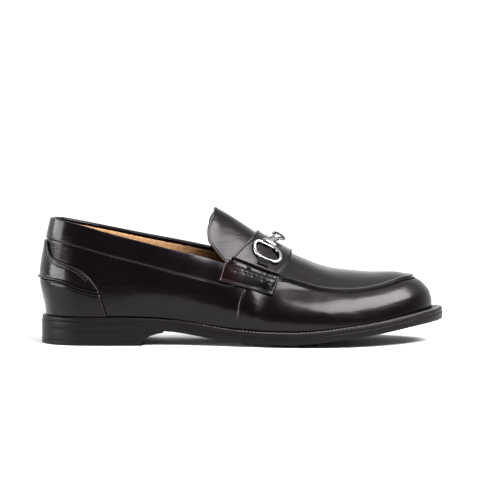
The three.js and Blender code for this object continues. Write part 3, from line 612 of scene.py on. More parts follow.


# Creases and hollows placed one by one: each is a soft hill or trough on a line, by the distance
# along and across it, on one side of the foot.
creaseRows = [
    {"side": -1, "x": 55, "z": 25, "long": 8, "wide": 36, "lean": -8, "rise": 0.75},
    {"side": -1, "x": 30, "z": 42, "long": 8, "wide": 20, "lean": 0, "rise": -0.6},
    {"side": -1, "x": 9, "z": 21, "long": 11, "wide": 4.6, "lean": 6, "rise": 1.5},
    {"side": -1, "x": 8, "z": 40, "long": 9, "wide": 3.6, "lean": 4, "rise": 0.4},
    {"side": -1, "x": 19, "z": 33, "long": 12, "wide": 5.5, "lean": 14, "rise": -0.5},
    {"side": 1, "x": 55, "z": 25, "long": 8, "wide": 36, "lean": -8, "rise": 0.6},
    {"side": -1, "x": -12, "z": 38, "long": 16, "wide": 5, "lean": -14, "rise": -0.22},
    {"side": -1, "x": 44, "z": 41, "long": 5, "wide": 13, "lean": 5, "rise": -0.25},
    {"side": -1, "x": -58, "z": 34, "long": 12, "wide": 24, "lean": 16, "rise": 0.4},
    {"side": 1, "x": 8, "z": 32, "long": 12, "wide": 4.2, "lean": 8, "rise": 0.45},
    {"side": 1, "x": 21, "z": 33, "long": 12, "wide": 4, "lean": 14, "rise": -0.28},
    {"side": 1, "x": -24, "z": 36, "long": 14, "wide": 7, "lean": -12, "rise": -0.3},
    {"side": 1, "x": 42, "z": 40, "long": 5, "wide": 12, "lean": 5, "rise": -0.22},
]


def creases(points):
    total = np.zeros(points.shape[:-1])
    for row in creaseRows:
        lean = math.radians(row["lean"])
        dx, dz = points[..., 0] - row["x"], points[..., 2] - row["z"]
        up = dz * math.cos(lean) + dx * math.sin(lean)
        over = dx * math.cos(lean) - dz * math.sin(lean)
        ownSide = smooth(row["side"] * points[..., 1], 6, 16)
        total += row["rise"] * ownSide * np.exp(-((up / row["long"]) ** 2) - (over / row["wide"]) ** 2)
    return total


# Relief of the skin, by the length past the seam: the collar band stands up from its stitched
# line, and the apron has a groove, a pinched lip and a raised plug.
def upperRelief(turn, fall, past, points):
    look = upperLook
    front = smooth(shareOf(turn), 0.6, 0.616)
    upright = look["upright"] * smooth(past, 0, 15) * bump(points[..., 0], -38, 26)
    band = (shoe["panelStep"] * smooth(past, -0.25, 0.35) - look["stitchSink"] * bump(past, -0.9, 0.45)
            + upright)
    groove = -look["groove"] * bump(past, -0.75, 0.85)
    lip = look["lip"] * np.where(past < 0.95, bump(past, 0.95, 0.6), bump(past, 0.95, 1.3))
    plug = look["plugStep"] * smooth(past, -0.1, 0.8)
    along = points[..., 0] - lerp(featherBack, featherToe, sideSeamShare(points[..., 2]))
    under = smooth(-past, 3, 5) * (fall < wallEnd)
    sideSeam = (0.42 * smooth(along, -0.25, 0.3) * (1 - smooth(along, 3, 14))
                - 0.16 * bump(along, 1.5, 0.5)) * under
    return lerp(band, groove + lip + plug, front) + sideSeam + creases(points) * smooth(-past, 0, 6)


# Faces of a wall made of two skins round the shoe, closed at its foot and along its open top.
def wallFaces(count, outerRows, innerRows, openAt):
    i = np.arange(count)[:, None]
    there = (i + 1) % count
    start = count * outerRows

    def skin(rows, first):
        j = np.arange(rows - 1)[None, :]
        here, beside = first + i * rows + j, first + there * rows + j
        return np.stack([here, beside, beside + 1, here + 1], -1).reshape(-1, 4)

    def edge(outer, inner):
        return np.stack([i * outerRows + outer, there * outerRows + outer,
                         start + there * innerRows + inner, start + i * innerRows + inner], -1).reshape(-1, 4)

    brim = edge(outerRows - 1, innerRows - 1)[openAt | openAt[there[:, 0]]]
    return np.concatenate([skin(outerRows, 0), skin(innerRows, start)[:, ::-1], edge(0, 0)[:, ::-1], brim])


def makeUpper():
    look = upperLook
    turn = pairedTurns()
    seam, top = seamFall(turn), topFall(turn)
    perLength = fallPerLength(turn, seam)
    below, above = seam + look["seamBelow"] * perLength, seam - look["seamAbove"] * perLength
    low = lerp(wallEnd, below[:, None], np.linspace(0, 1, look["lowRows"])[None, :-1])
    middle = lerp(below[:, None], above[:, None], np.linspace(0, 1, look["seamRows"])[None, :])
    high = lerp(above[:, None], top[:, None], crowded(look["highRows"], 0.08)[None, 1:])
    fall = np.concatenate([low, middle, high], 1)
    wide = np.repeat(turn[:, None], fall.shape[1], 1)
    past = (seam[:, None] - fall) / perLength[:, None]
    points = face(wide, fall)
    lift = upperRelief(wide, fall, past, points)
    openAt = top > smallTurn
    radius = look["edgeRadius"]
    rolled = 1 - np.sqrt(1 - (1 - np.clip(lengthToEnd(points) / radius, 0, 1)) ** 2)
    outer = lifted(wide, fall, np.where(openAt[:, None], lift - rolled * radius, lift))
    innerFall = lerp(wallEnd, top[:, None], (np.linspace(0, 1, look["innerRows"]) ** 0.45)[None, :])
    innerWide = np.repeat(turn[:, None], look["innerRows"], 1)
    toBrim = lengthToEnd(face(innerWide, innerFall))
    bound = smooth(-toBrim, -look["binding"] - 0.5, -look["binding"] + 0.3) * openAt[:, None]
    round_ = np.sqrt(1 - (1 - np.clip(toBrim / look["bindingRadius"], 0, 1)) ** 2)
    depth = look["bindingEdge"] + look["bindingDepth"] * round_
    inner = lifted(innerWide, innerFall, -lerp(look["leather"], depth, bound))
    points = np.concatenate([outer.reshape(-1, 3), inner.reshape(-1, 3)])
    faces = wallFaces(len(turn), fall.shape[1], look["innerRows"], openAt)
    putPiece("upper_leather", points, faces, upperLeather, ["upper"])


# Lining: a thin skin inside the leather, a little below its rolled edge.
liningLook = {"turns": 150, "rows": 26, "outside": 1.1, "inside": 2.0, "drop": 2.9}


def makeLining():
    look = liningLook
    half = np.linspace(0, math.pi, look["turns"])
    turn = np.concatenate([half, -half[1:-1][::-1]])
    top = topFall(turn)
    top = np.where(top > smallTurn, top + look["drop"] * fallPerLength(turn, np.maximum(top, 0.02)), 0)
    fall = lerp(wallEnd, top[:, None], np.linspace(0, 1, look["rows"])[None, :])
    wide = np.repeat(turn[:, None], look["rows"], 1)
    skins = [lifted(wide, fall, -look[depth]).reshape(-1, 3) for depth in ("outside", "inside")]
    faces = wallFaces(len(turn), look["rows"], look["rows"], top > smallTurn)
    putPiece("upper_lining", np.concatenate(skins), faces, tanLining, ["upper"])


makeUpper()
makeLining()

# Tongue: it continues the plug back over the throat to its own stitched edge.
tongueLook = {"thickness": 2.2, "radius": 0.55, "across": 91, "along": 61, "stitchIn": 1.4, "sink": 0.1}
tongueRows = {
    "across": [0, 0.3, 0.64, 0.815, 0.87, 0.937, 1],
    "rear": [0.425, 0.418, 0.405, 0.413, 0.425, 0.4435, 0.463],
}
tongueRear = curve(tongueRows, "across", "rear")


def tonguePlaces(share, down):
    slant = (shoe["throatEnd"] - shoe["throatStart"]) * np.abs(share)
    front = shoe["throatEnd"] - slant - 2 * shoe["clearance"] / (featherToe - featherBack)
    at = lerp(tongueRear(np.abs(share)), front, down)
    turn = turnAtShare(at, np.where(share > 0, -1, 1))
    limit = np.where(at < shoe["throatStart"], collarFall(turn) - 0.015, throatFallOf(turn))
    return turn, np.abs(share) * limit


def makeTongue():
    look = tongueLook
    share = (crowded(look["across"], 0.1) * 2 - 1)[:, None]
    down = crowded(look["along"], 0.1)[None, :]
    turn, fall = tonguePlaces(*np.broadcast_arrays(share, down))

    def relief(ends):
        return -look["sink"] * bump(np.minimum.reduce(ends[:3]), look["stitchIn"], 0.6)

    putPanel("tongue_leather", "tongue", turn, fall, shoe["panelStep"] - look["thickness"], look, relief)


makeTongue()

# Saddle strap: a band over the instep, stitched along its rear and front edges.
strapLook = {"thickness": 1.8, "radius": 0.5, "across": 121, "along": 61, "stitchIn": 1.4, "sink": 0.1,
             "under": 1.1}
strapRows = {
    "fall": [0, 0.33, 0.61, 0.885],
    "rear": [0.558, 0.538, 0.51, 0.4775],
    "front": [0.672, 0.65, 0.631, 0.6035],
}
strapRear, strapFront = (curve(strapRows, "fall", column) for column in ("rear", "front"))


def makeStrap():
    look = strapLook
    fall = np.linspace(-strapRows["fall"][-1], strapRows["fall"][-1], look["across"])[:, None]
    down = crowded(look["along"], 0.11)[None, :]
    drop = np.abs(fall)
    at = lerp(strapRear(drop), strapFront(drop), down)
    turn, drop = np.broadcast_arrays(turnAtShare(at, np.where(fall > 0, -1, 1)), drop)
    putPanel("strap_leather", "saddle_strap", turn, drop, look["under"], look,
             lambda ends: -look["sink"] * sum(bump(edge, look["stitchIn"], 0.5) for edge in ends[2:]))


makeStrap()

# Strap end: a narrow roll with three pinches along its top, over a body that sinks towards its
# foot, with faint gathers, a shallow fold with small holes, soft pads, stitched edges and a lip.
endLook = {"thickness": 1.5, "radius": 0.8, "across": 181, "down": 91, "rollAt": 1.5, "rollRise": 0.9,
           "foldAt": 7.0, "tilt": 0.11, "holeReach": 0.5, "gathers": 21, "stitchIn": 1.9}
pinchRows = [(0.06, 0.09), (0.385, 0.055), (0.77, 0.014)]
holeShares = [0.25, 0.4, 0.56, 0.75, 0.88]
endRows = {
    "fall": [0.905, 0.93, 0.955, 0.985, 1.03, 1.08, 1.145],
    "rear": [0.468, 0.4655, 0.463, 0.4608, 0.4573, 0.454, 0.451],
    "front": [0.6036, 0.602, 0.6008, 0.599, 0.5965, 0.593, 0.588],
}
endRear, endFront = (curve(endRows, "fall", column) for column in ("rear", "front"))


def makeStrapEnd(side, name):
    look = endLook
    fall = lerp(0.903, 1.145, crowded(look["down"], 0.06))[:, None]
    along = crowded(look["across"], 0.07)[None, :]
    turn = turnAtShare(lerp(endRear(fall), endFront(fall), along), side)
    turn, fall = np.broadcast_arrays(turn, fall)
    seam = seamFall(turn)
    sunk = smooth(fall, seam + 0.05, seam + 0.13)
    under = lerp(strapLook["under"], shoe["clearance"], sunk)

    def relief(ends):
        top, foot, rear, front = ends
        long = rear + front
        share = rear / long
        pinch = 1 - 0.75 * sum(bump(share, where, reach) for where, reach in pinchRows)
        roll = look["rollRise"] * pinch * smooth(rear, 2.5, 5) * (1 - smooth(top, 3.2, 4.3))
        body = 1.1 - look["tilt"] * np.maximum(top - 3.3, 0)
        folded = smooth(top, 0.2, look["rollAt"]) * (roll + body)
        waves = np.sin(share * math.pi * look["gathers"])
        gather = 0.015 * waves * bump(top, 5.2, 1.2) * smooth(rear, 9, 14)
        sag = look["foldAt"] + 0.5 * np.sin(share * 9)
        fold = -0.025 * bump(top, sag, 0.4) * smooth(rear, 5, 9) * smooth(front, 1, 4)
        holes = -0.8 * sum(bump(rear - where * long, 0, look["holeReach"]) for where in holeShares)
        holes = holes * bump(top, sag, look["holeReach"])
        pad = 0.15 * bump(rear, 6, 2.5) * bump(top, 9.6, 1.8) + 0.5 * bump(front, 4.6, 2) * bump(foot, 5, 3)
        lip = 0.4 * bump(foot, 0.9, 0.7) - 0.3 * bump(foot, 2.3, 0.7)
        seams = -0.2 * bump(rear, look["stitchIn"], 0.55) - 0.2 * bump(front, look["stitchIn"], 0.55)
        return folded + gather + fold + holes + pad + lip + seams

    node = "strap_end_lateral" if side < 0 else "strap_end_medial"
    return putPanel(name, node, turn, fall, under, look, relief, strapLeather)


endTops = {side: makeStrapEnd(side, name) for side, name in (
    (-1, "strap_end_outer"), (1, "strap_end_inner"))}

# Counter: a rounded upper panel over a low one that wraps the heel, with a lip at the back.
counterLook = {"thickness": 1.3, "radius": 0.8, "length": 47.5, "slant": 0.033, "round": 161, "down": 41,
               "stitchIns": (1.6, 3.6)}
counterRows = {
    "round": [0, 0.12, 0.23, 0.33, 0.45, 0.655, 0.78, 0.886, 0.95, 0.984, 1],
    "top": [0.822, 0.82, 0.808, 0.737, 0.691, 0.652, 0.623, 0.568, 0.508, 0.46, 0.43],
    "split": [0.516, 0.516, 0.516, 0.515, 0.509, 0.49, 0.452, 0.424, 0.41, 0.407, 0.406],
}
counterTop, counterSplit = (curve(counterRows, "round", column) for column in ("top", "split"))
counterWrap = float(turnAt(counterLook["length"] / shoe["soleLength"]))


def makeCounters():
    look = counterLook
    share = (crowded(look["round"], 0.05) * 2 - 1)[:, None]
    round_ = np.abs(share)
    down = crowded(look["down"], 0.1)[None, :]
    turn = share * counterWrap + 0 * down
    high = fallAtHeight(turn, shoe["collarTop"] * counterTop(round_) + 0 * down)
    low = fallAtHeight(turn, shoe["collarTop"] * counterSplit(round_) + halfGap + 0 * down)
    lipOut = shoe["lipReach"] + face(0.0, low)[..., 0] + originX

    def upperShape(ends):
        backward = 1 - smooth(round_, 0.3, 0.6)
        top, foot = ends[2:]
        lip = np.maximum(lipOut - look["thickness"] - shoe["clearance"], 0) * backward
        seams = -0.18 * sum(bump(top, inward, 0.45) for inward in look["stitchIns"])
        return lip * smooth(-foot, -3.2, -0.6) + seams + 0.35 * bump(foot, 1.2, 0.9)

    putPanel("counter_upper_leather", "counter_upper", turn, lerp(high, low, down), shoe["clearance"],
             look, upperShape)
    slant = share * counterWrap * (1 + look["slant"] * down)
    split = shoe["collarTop"] * counterSplit(round_) - halfGap + 0 * down
    fall = lerp(fallAtHeight(slant, split), wallEnd, down)
    putPanel("counter_lower_leather", "counter_lower", slant, fall, shoe["clearance"], look,
             lambda ends: -0.12 * bump(ends[2], 1.5, 0.5))


makeCounters()


def atHeight(plan, height):
    height = np.broadcast_to(height, plan.shape[:-1])
    return np.concatenate([plan, height[..., None]], -1)


# Sole: sections across the outline, with their edge steps, a rounded tread and a level seat. Each
# step of the edge is a way inward and a share of the thickness.
soleLook = {"stations": 260, "edge": [
    (1.6, 0), (0.9, 0.02), (0.35, 0.08), (0.1, 0.16), (0, 0.28), (0, 0.6), (0.03, 0.85), (0.12, 0.96),
    (0.3, 1)]}


def makeOutsole():
    at = atTurn(np.linspace(0, math.pi, soleLook["stations"]))
    turn = turnAt(at)
    heel = smooth(heelShare(at), 0.75, 1)
    thickness = shoe["outsoleThickness"] * bodyShare(at)
    middle = (outline(turn) + outline(-turn)) / 2
    rows = []
    for side in (1, -1):
        edge = []
        for inward, up in soleLook["edge"]:
            bevel = lerp(inward, np.where(up < 0.5, min(inward, 0.12), inward), heel)
            edge.append(atHeight(inset(side * turn, bevel), bottomEdge(at) + up * thickness))
        rim = inset(side * turn, lerp(1.6, 0.12, heel))
        under = []
        for share in (0.93, 0.8, 0.65, 0.5, 0.25):
            past = max(share - 0.5, 0) / 0.5
            drop = shoe["soleRound"] * roundShare(at) * (1 - past**2)
            under.append(atHeight(lerp(middle, rim, share), bottomEdge(at) - drop))
        above = [atHeight(lerp(middle, inset(side * turn, 0.75), share), seatHeight(at))
                 for share in (0.9, 0.6, 0.3)]
        rows.append((edge, under, above))
    (edgeA, underA, aboveA), (edgeB, underB, aboveB) = rows
    keel = atHeight(middle, bottomEdge(at) - shoe["soleRound"] * roundShare(at))
    ceiling = atHeight(middle, seatHeight(at))
    ring = [*edgeA[::-1], *underA, keel, *underB[::-1], *edgeB, *aboveB, ceiling, *aboveA[::-1]]
    sections = np.stack(ring, 1)
    putPiece("outsole_leather", sections.reshape(-1, 3), loftFaces(*sections.shape[:2], "pointed"),
             soleLeather, ["outsole"])


# Welt: a flat ring with a rounded edge, wheeled into small ticks along its top.
weltLook = {"turns": 760, "tick": 2.3, "tickDepth": 0.22, "stitchIn": 3.0, "edge": [
    (0.6, 0), (0.45, 0.1), (0.4, 0.35), (0.4, 0.65), (0.55, 0.86), (0.95, 0.98), (1.5, 1.0)]}


def makeWelt():
    look = weltLook
    turn = np.linspace(-math.pi, math.pi, look["turns"], endpoint=False)
    at = atTurn(turn)
    low, high = seatHeight(at) + 0.02, weltTop(at)
    length = lengthAlong(outline(turn))
    ticks = look["tickDepth"] * np.abs(np.sin(length * math.pi / look["tick"])) ** 4 * smooth(at, 0.3, 0.45)
    ring = [atHeight(inset(turn, inward), lerp(low, high, up) - (ticks if up > 0.95 else 0))
            for inward, up in look["edge"]]
    inside = featherMargin(at) + shoe["wallThickness"] + 2
    reach = lerp(1.5, inside, 0.3)
    ring += [atHeight(inset(turn, reach), high - 0.12), atHeight(inset(turn, inside), high),
             atHeight(inset(turn, inside), low)]
    sections = np.stack(ring, 1)
    putPiece("welt_leather", sections.reshape(-1, 3), loftFaces(*sections.shape[:2], "joined"),
             soleLeather, ["welt"])


# Heel: plates under the outline, hollowed at the breast, which sweeps forward as it rises.
heelLook = {"stations": 120, "across": 33, "inset": 0.14, "round": 0.1,
            "levels": [0, 0.012, 0.04, 0.3, 0.7, 0.96, 0.988, 1]}
breastRows = {"out": [0, 0.08, 0.38, 0.7, 1], "up": [0.3, 0.4, 0.63, 0.78, 0.86]}
breastUp = curve(breastRows, "out", "up")


def heelPlate(name, low, high, reachFront, material, node):
    look = heelLook
    breast = shoe["heelLength"] / shoe["soleLength"]
    share = np.concatenate([np.linspace(0, 1, look["stations"]) ** 1.6, reachFront])
    at = breast * np.minimum(share, 1) + shoe["breastReach"] * np.maximum(share - 1, 0) / shoe["soleLength"]
    turn = turnAt(at)
    hollow = np.where(share <= 1, np.clip(share, 0, 1) ** 6, 2 - share)
    floor, roof = low(at, share), high(at)
    sections = []
    across = (crowded(look["across"], 0.13))[None, :]
    for level in look["levels"]:
        inward = look["inset"] + look["round"] * abs(2 * level - 1) ** 60
        outer, inner = inset(turn, inward + 0 * turn), inset(-turn, inward + 0 * turn)
        line = lerp(outer[:, None, :], inner[:, None, :], across[..., None])
        line[..., 0] -= shoe["breastHollow"] * hollow[:, None] * 4 * across * (1 - across)
        sections.append(atHeight(line, np.broadcast_to(lerp(floor, roof, level)[:, None], line.shape[:2])))
    grid = np.stack(sections, 1)
    bottom, top = grid[:, 0], grid[:, -1]
    left, right = grid[:, 1:-1, -1], grid[:, 1:-1, 0]
    ring = np.concatenate([bottom, left, top[:, ::-1], right[:, ::-1]], 1)
    count, around = ring.shape[:2]
    faces = loftFaces(count, around, "pointed")
    breastGrid = grid[-1]
    rows, columns = breastGrid.shape[:2]
    offset = count * around
    i, k = np.meshgrid(np.arange(rows - 1), np.arange(columns - 1), indexing="ij")
    cap = offset + np.stack([i * columns + k, i * columns + k + 1,
                             (i + 1) * columns + k + 1, (i + 1) * columns + k], -1).reshape(-1, 4)
    points = np.concatenate([ring.reshape(-1, 3), breastGrid.reshape(-1, 3)])
    putPiece(name, points, np.concatenate([faces, cap[:, ::-1]]), material, [node])


def makeHeel():
    lift = shoe["liftThickness"]

    def blockFloor(at, share):
        out = np.clip(share - 1, 0, 1)
        return np.where(share > 1, shoe["heelHeight"] * breastUp(out), lift + 0.05)

    heelPlate("heel_stack", blockFloor, lambda at: bottomEdge(at) - 0.02,
              1 + np.array([0.02, 0.08, 0.2, 0.38, 0.55, 0.7, 0.85, 1]), soleLeather, "heel")
    heelPlate("heel_top_lift", lambda at, share: 0 * at, lambda at: 0 * at + lift, [], heelRubber,
              "heel_lift")


# Insole: a padded sock that fills the ring of the welt and rounds down to the wall. Each step of
# its edge is a way inward from the rim and a drop below its top.
insoleLook = {"stations": 160, "gap": 0.6, "edge": [(2, 2.4), (0, 2.3), (0, 0.7), (0.25, 0.2), (0.8, 0)],
              "shares": (0.9, 0.75, 0.5, 0.25), "dish": 0.5}


def makeInsole():
    look = insoleLook
    turn = np.linspace(0, math.pi, look["stations"])
    at = atTurn(turn)
    wide = featherMargin(at) + shoe["wallThickness"] + look["gap"]
    low, high = seatHeight(at) + 0.1, featherHeight(at) + shoe["insoleThickness"]
    middle = (inset(turn, wide) + inset(-turn, wide)) / 2
    rows = []
    for side in (1, -1):
        rim = inset(side * turn, wide)
        row = [atHeight(inset(side * turn, wide + look["edge"][0][0]), low)]
        row += [atHeight(inset(side * turn, wide + inward), high - drop) for inward, drop in look["edge"]]
        row += [atHeight(lerp(middle, rim, share), high - look["dish"] * (1 - share**2))
                for share in look["shares"]]
        rows.append(row)
    ring = [atHeight(middle, low), *rows[0], atHeight(middle, high - look["dish"]), *rows[1][::-1]]
    sections = np.stack(ring, 1)
    putPiece("insole_sock", sections.reshape(-1, 3), loftFaces(*sections.shape[:2], "pointed"),
             tanLining, ["insole"])


makeOutsole()
makeWelt()
makeHeel()
makeInsole()

# Bit: two rings with thick rounded ends and thin straight sides, joined by a bar with barrels.
bitLook = {
    "ringLength": 23.6, "ringWidth": 16.5, "ringPower": 0.8, "wire": 1.22, "thinWire": 0.6,
    "ringAt": 0.568, "linkAt": 0.617, "ringFall": 0.62, "barWidth": 11.5, "barThickness": 4.4,
    "barrelIn": 1.4, "linkLift": 2.8,
}
strapOver = strapLook["under"] + strapLook["thickness"]
metalLift = strapOver + shoe["clearance"] + bitLook["wire"]


# A place on the strap by a length along the shoe and one up across it from the ring's middle.
def onStrap(side, along, up):
    at, fall = bitLook["ringAt"], bitLook["ringFall"]
    ahead, behind = face(turnAtShare(at + 0.01, side), fall), face(turnAtShare(at - 0.01, side), fall)
    length = np.linalg.norm(ahead - behind)
    return (turnAtShare(at + 0.02 * along / length, side),
            fall - up * fallPerLength(turnAtShare(at, side), fall))


# A tube along a closed or open path: a circle of the given radii across each tangent.
def tube(path, off, radius, around=20, ends="joined"):
    if ends == "joined":
        along = np.roll(path, -1, 0) - np.roll(path, 1, 0)
    else:
        along = np.gradient(path, axis=0)
    across = unit(np.cross(along, off))
    angle = np.linspace(0, 2 * math.pi, around, endpoint=False)[None, :, None]
    radius = np.broadcast_to(radius, len(path))[:, None, None]
    return path[:, None] + radius * (across[:, None] * np.cos(angle) + off[:, None] * np.sin(angle))


def makeRing(side, name, node):
    look = bitLook
    angle = np.linspace(0, 2 * math.pi, 180, endpoint=False)

    def squared(value):
        return np.sign(value) * np.abs(value) ** look["ringPower"]

    along = squared(np.cos(angle)) * (look["ringLength"] - 2 * look["wire"]) / 2
    up = squared(np.sin(angle)) * (look["ringWidth"] - 2 * look["wire"]) / 2
    thick = smooth(np.abs(along), 4.7, 5.2)
    radius = lerp(look["thinWire"], look["wire"], thick)
    turn, fall = onStrap(side, along, up - np.sign(up) * (look["wire"] - radius))
    sections = tube(lifted(turn, fall, metalLift), outward(turn, fall), radius, 22)
    putPiece(name, sections.reshape(-1, 3), loftFaces(*sections.shape[:2], "joined"), silver,
             [node])


# The mouthpiece from its middle link out to a ring: link, ball, neck, and a slim barrel beside
# the ring's straight upper side.
mouthRows = {
    "out": [0, 0.06, 0.11, 0.14, 0.165, 0.2, 0.26, 0.31, 0.35, 0.42, 0.55, 0.68, 0.76, 0.8, 0.825, 0.86,
            0.9, 0.94, 0.965, 1],
    "wide": [0.92, 0.86, 0.55, 0.3, 0.26, 0.4, 0.5, 0.42, 0.28, 0.23, 0.22, 0.24, 0.3, 0.42, 0.72, 0.95,
             1, 0.9, 0.6, 0.3],
    "thick": [1.05, 1.02, 0.9, 0.72, 0.7, 1.0, 1.15, 1.0, 0.75, 0.6, 0.55, 0.55, 0.55, 0.58, 0.68, 0.76,
              0.78, 0.7, 0.55, 0.35],
}
mouthWide, mouthThick = (curve(mouthRows, "out", column) for column in ("wide", "thick"))


def makeBar():
    look = bitLook
    out = np.concatenate([-np.linspace(1, 0, 150)[:-1], np.linspace(0, 1, 150)])
    size = np.abs(out)
    side = np.where(out > 0, -1, 1)
    ends = {s: float(onStrap(s, 0, look["ringWidth"] / 2 - look["barrelIn"])[1]) for s in (-1, 1)}
    at = lerp(look["linkAt"], look["ringAt"], size)
    turn = turnAtShare(at, side)
    fall = size * np.where(out > 0, ends[-1], ends[1])
    off = outward(turn, fall)
    along = unit(face(turnAtShare(at + 0.01, side), fall) - face(turnAtShare(at - 0.01, side), fall))
    thick = look["barThickness"] * mouthThick(size)
    raised = look["linkLift"] * (1 - smooth(size, 0.07, 0.2))
    middle = lifted(turn, fall, strapOver + shoe["clearance"] + thick / 2 + raised)
    angle = np.linspace(0, 2 * math.pi, 28, endpoint=False)[None, :, None]
    wide = (look["barWidth"] * mouthWide(size) / 2)[:, None, None]
    sections = (middle[:, None] + along[:, None] * wide * np.cos(angle)
                + off[:, None] * (thick / 2)[:, None, None] * np.sin(angle))
    putPiece("bit_mouthpiece", sections.reshape(-1, 3), loftFaces(*sections.shape[:2]), silver,
             ["bit_bar"])


# Tab: the leather loop under a ring, shown below the ring's lower bar and down to a turned lip.
tabLook = {"width": 8.6, "shift": 2.4, "thickness": 1.1, "radius": 0.6, "start": -0.95, "end": -3.1,
           "rise": 1.3}
tabRows = {
    "past": [-2.2, -1.8, -1.3, -0.8, 0.8, 1.5, 2.2],
    "rise": [0, 0.1, 0.7, 1, 1, 0.75, 0],
}
tabRise = curve(tabRows, "past", "rise")


def makeTab(side, name, node):
    look = tabLook
    past = np.linspace(look["start"], look["end"], 41)[None, :]
    along = (lerp(-0.5, 0.5, crowded(31, 0.12)) * look["width"])[:, None]
    reach = bitLook["wire"] + shoe["clearance"]
    low = strapOver + shoe["clearance"] + look["rise"] * reach * tabRise(np.maximum(past, -2.2))
    up = past * reach - (bitLook["ringWidth"] / 2 - bitLook["wire"])
    turn, fall = onStrap(side, along - look["shift"], up)
    turn, fall, low = np.broadcast_arrays(turn, fall, low)
    putPanel(name, node, turn, fall, low, look,
             lambda ends: 0.3 * bump(ends[3], 0.8, 0.45) - 0.2 * bump(ends[3], 1.8, 0.5))


makeRing(-1, "bit_ring_outer", "bit_ring_lateral")
makeRing(1, "bit_ring_inner", "bit_ring_medial")
makeBar()
makeTab(-1, "bit_tab_outer", "bit_tab_lateral")
makeTab(1, "bit_tab_inner", "bit_tab_medial")

# Stitches: small rounded grains of thread laid end to end along a path on the leather. Each row
# of sizes is the pitch, length, width and height of one kind.
stitchLook = {"around": 6, "along": 5}
stitchSizes = {
    "band": (1.55, 1.15, 0.5, 0.5), "panel": (1.6, 1.2, 0.5, 0.5), "side": (1.7, 1.0, 0.5, 0.45),
    "strap": (1.7, 1.25, 0.55, 0.5), "end": (1.6, 1.2, 0.55, 0.5), "welt": (2.7, 1.5, 0.8, 0.65),
}
threadLift = 0.02
counterOver = shoe["clearance"] + counterLook["thickness"] + threadLift


def threads(middle, slope, across, up, length, wide, high):
    rings = np.linspace(-1, 1, stitchLook["along"])
    angle = np.linspace(0, 2 * math.pi, stitchLook["around"], endpoint=False)
    reach = np.sqrt(np.clip(1.04 - rings**2, 0.04, 1))[:, None]
    grain = np.stack(np.broadcast_arrays(rings[:, None] / 2, reach * np.cos(angle) * wide / 2,
                                         reach * np.sin(angle) * high / 2), -1).reshape(-1, 3)
    length = np.broadcast_to(length, len(middle))[:, None, None]
    points = (middle[:, None] + slope[:, None] * grain[None, :, :1] * length
              + across[:, None] * grain[None, :, 1:2] + up[:, None] * grain[None, :, 2:])
    faces = loftFaces(stitchLook["along"], stitchLook["around"])
    offset = (np.arange(len(middle)) * len(grain))[:, None, None]
    return points.reshape(-1, 3), (faces[None] + offset).reshape(-1, 4)


def stitches(path, off, kind):
    pitch, length, wide, high = stitchSizes[kind]
    far = lengthAlong(path)
    count = int(far[-1] // pitch)
    where = (np.arange(count) + 0.5) * far[-1] / max(count, 1)

    def onPath(values):
        return np.stack([np.interp(where, far, values[:, k]) for k in range(3)], -1)

    up = onPath(off)
    slope = unit(onPath(np.gradient(path, far, axis=0)))
    return threads(onPath(path), slope, unit(np.cross(slope, up)), up, length, wide, high)


def putStitches(name, runs, material):
    points, faces, base = [], [], 0
    for runPoints, runFaces in runs:
        points.append(runPoints)
        faces.append(runFaces + base)
        base += len(runPoints)
    putPiece(name, np.concatenate(points), np.concatenate(faces), material, apart=True)


def alongFace(turn, fall, lift):
    return lifted(turn, fall, lift), outward(turn, fall)


# An edge line moved in over the leather, at right angles to itself and towards points inside.
def movedIn(path, off, inside, inward, lift):
    inner = unit(np.cross(off, np.gradient(path, axis=0)))
    inner *= np.sign(np.einsum("ij,ij->i", inner, inside - path))[:, None]
    return path + inner * inward + off * lift


def bandRun(side):
    turn = turnAtShare(np.linspace(0.012, 0.452, 500), side)
    seam = seamFall(turn)
    path, off = alongFace(turn, seam + 0.55 * fallPerLength(turn, seam), 0.12)
    return stitches(path, off, "band")


def counterRun(side, inward):
    share = np.linspace(0.03, 0.985, 400)
    turn = -side * share * counterWrap
    high = fallAtHeight(turn, shoe["collarTop"] * counterTop(share))
    low = fallAtHeight(turn, shoe["collarTop"] * counterSplit(share) + halfGap)
    off = outward(turn, high)
    inside = face(turn, np.minimum(high + 0.02, low))
    path = movedIn(face(turn, high), off, inside, inward, counterOver)
    keep = share < 0.93
    return stitches(path[keep], off[keep], "panel")


def sideSeamRun(side):
    height = np.linspace(22.5, 45, 160)
    turn = turnAtShare(sideSeamShare(height) + 0.0052, side)
    path, off = alongFace(turn, fallAtHeight(turn, height), 0.5)
    return stitches(path, off, "side")


def counterFrontRun(side):
    down = np.linspace(0.04, 0.97, 200)
    turn = -side * counterWrap * (1 + counterLook["slant"] * down)
    low = fallAtHeight(turn, shoe["collarTop"] * counterSplit(1.0) + 0 * down)
    path, off = alongFace(-side * (np.abs(turn) - 0.012), lerp(low, wallEnd, down), counterOver)
    return stitches(path, off, "panel")


def tongueRun():
    share = np.linspace(-0.975, 0.975, 700)
    turn, fall = tonguePlaces(share, 0.0)
    off = outward(turn, fall)
    path = movedIn(face(turn, fall), off, face(*tonguePlaces(share, 0.05)), tongueLook["stitchIn"],
                   shoe["panelStep"] - 0.08)
    return stitches(path, off, "panel")


def strapRun(edge):
    fall = np.linspace(-0.88, 0.88, 600)
    drop = np.abs(fall)
    side = np.where(fall > 0, -1, 1)
    rear, front = strapRear(drop), strapFront(drop)
    share = strapLook["stitchIn"] / ((front - rear) * (featherToe - featherBack))
    at = lerp(rear, front, share if edge == "rear" else 1 - share)
    path, off = alongFace(turnAtShare(at, side), drop, strapOver + threadLift)
    return stitches(path, off, "strap")


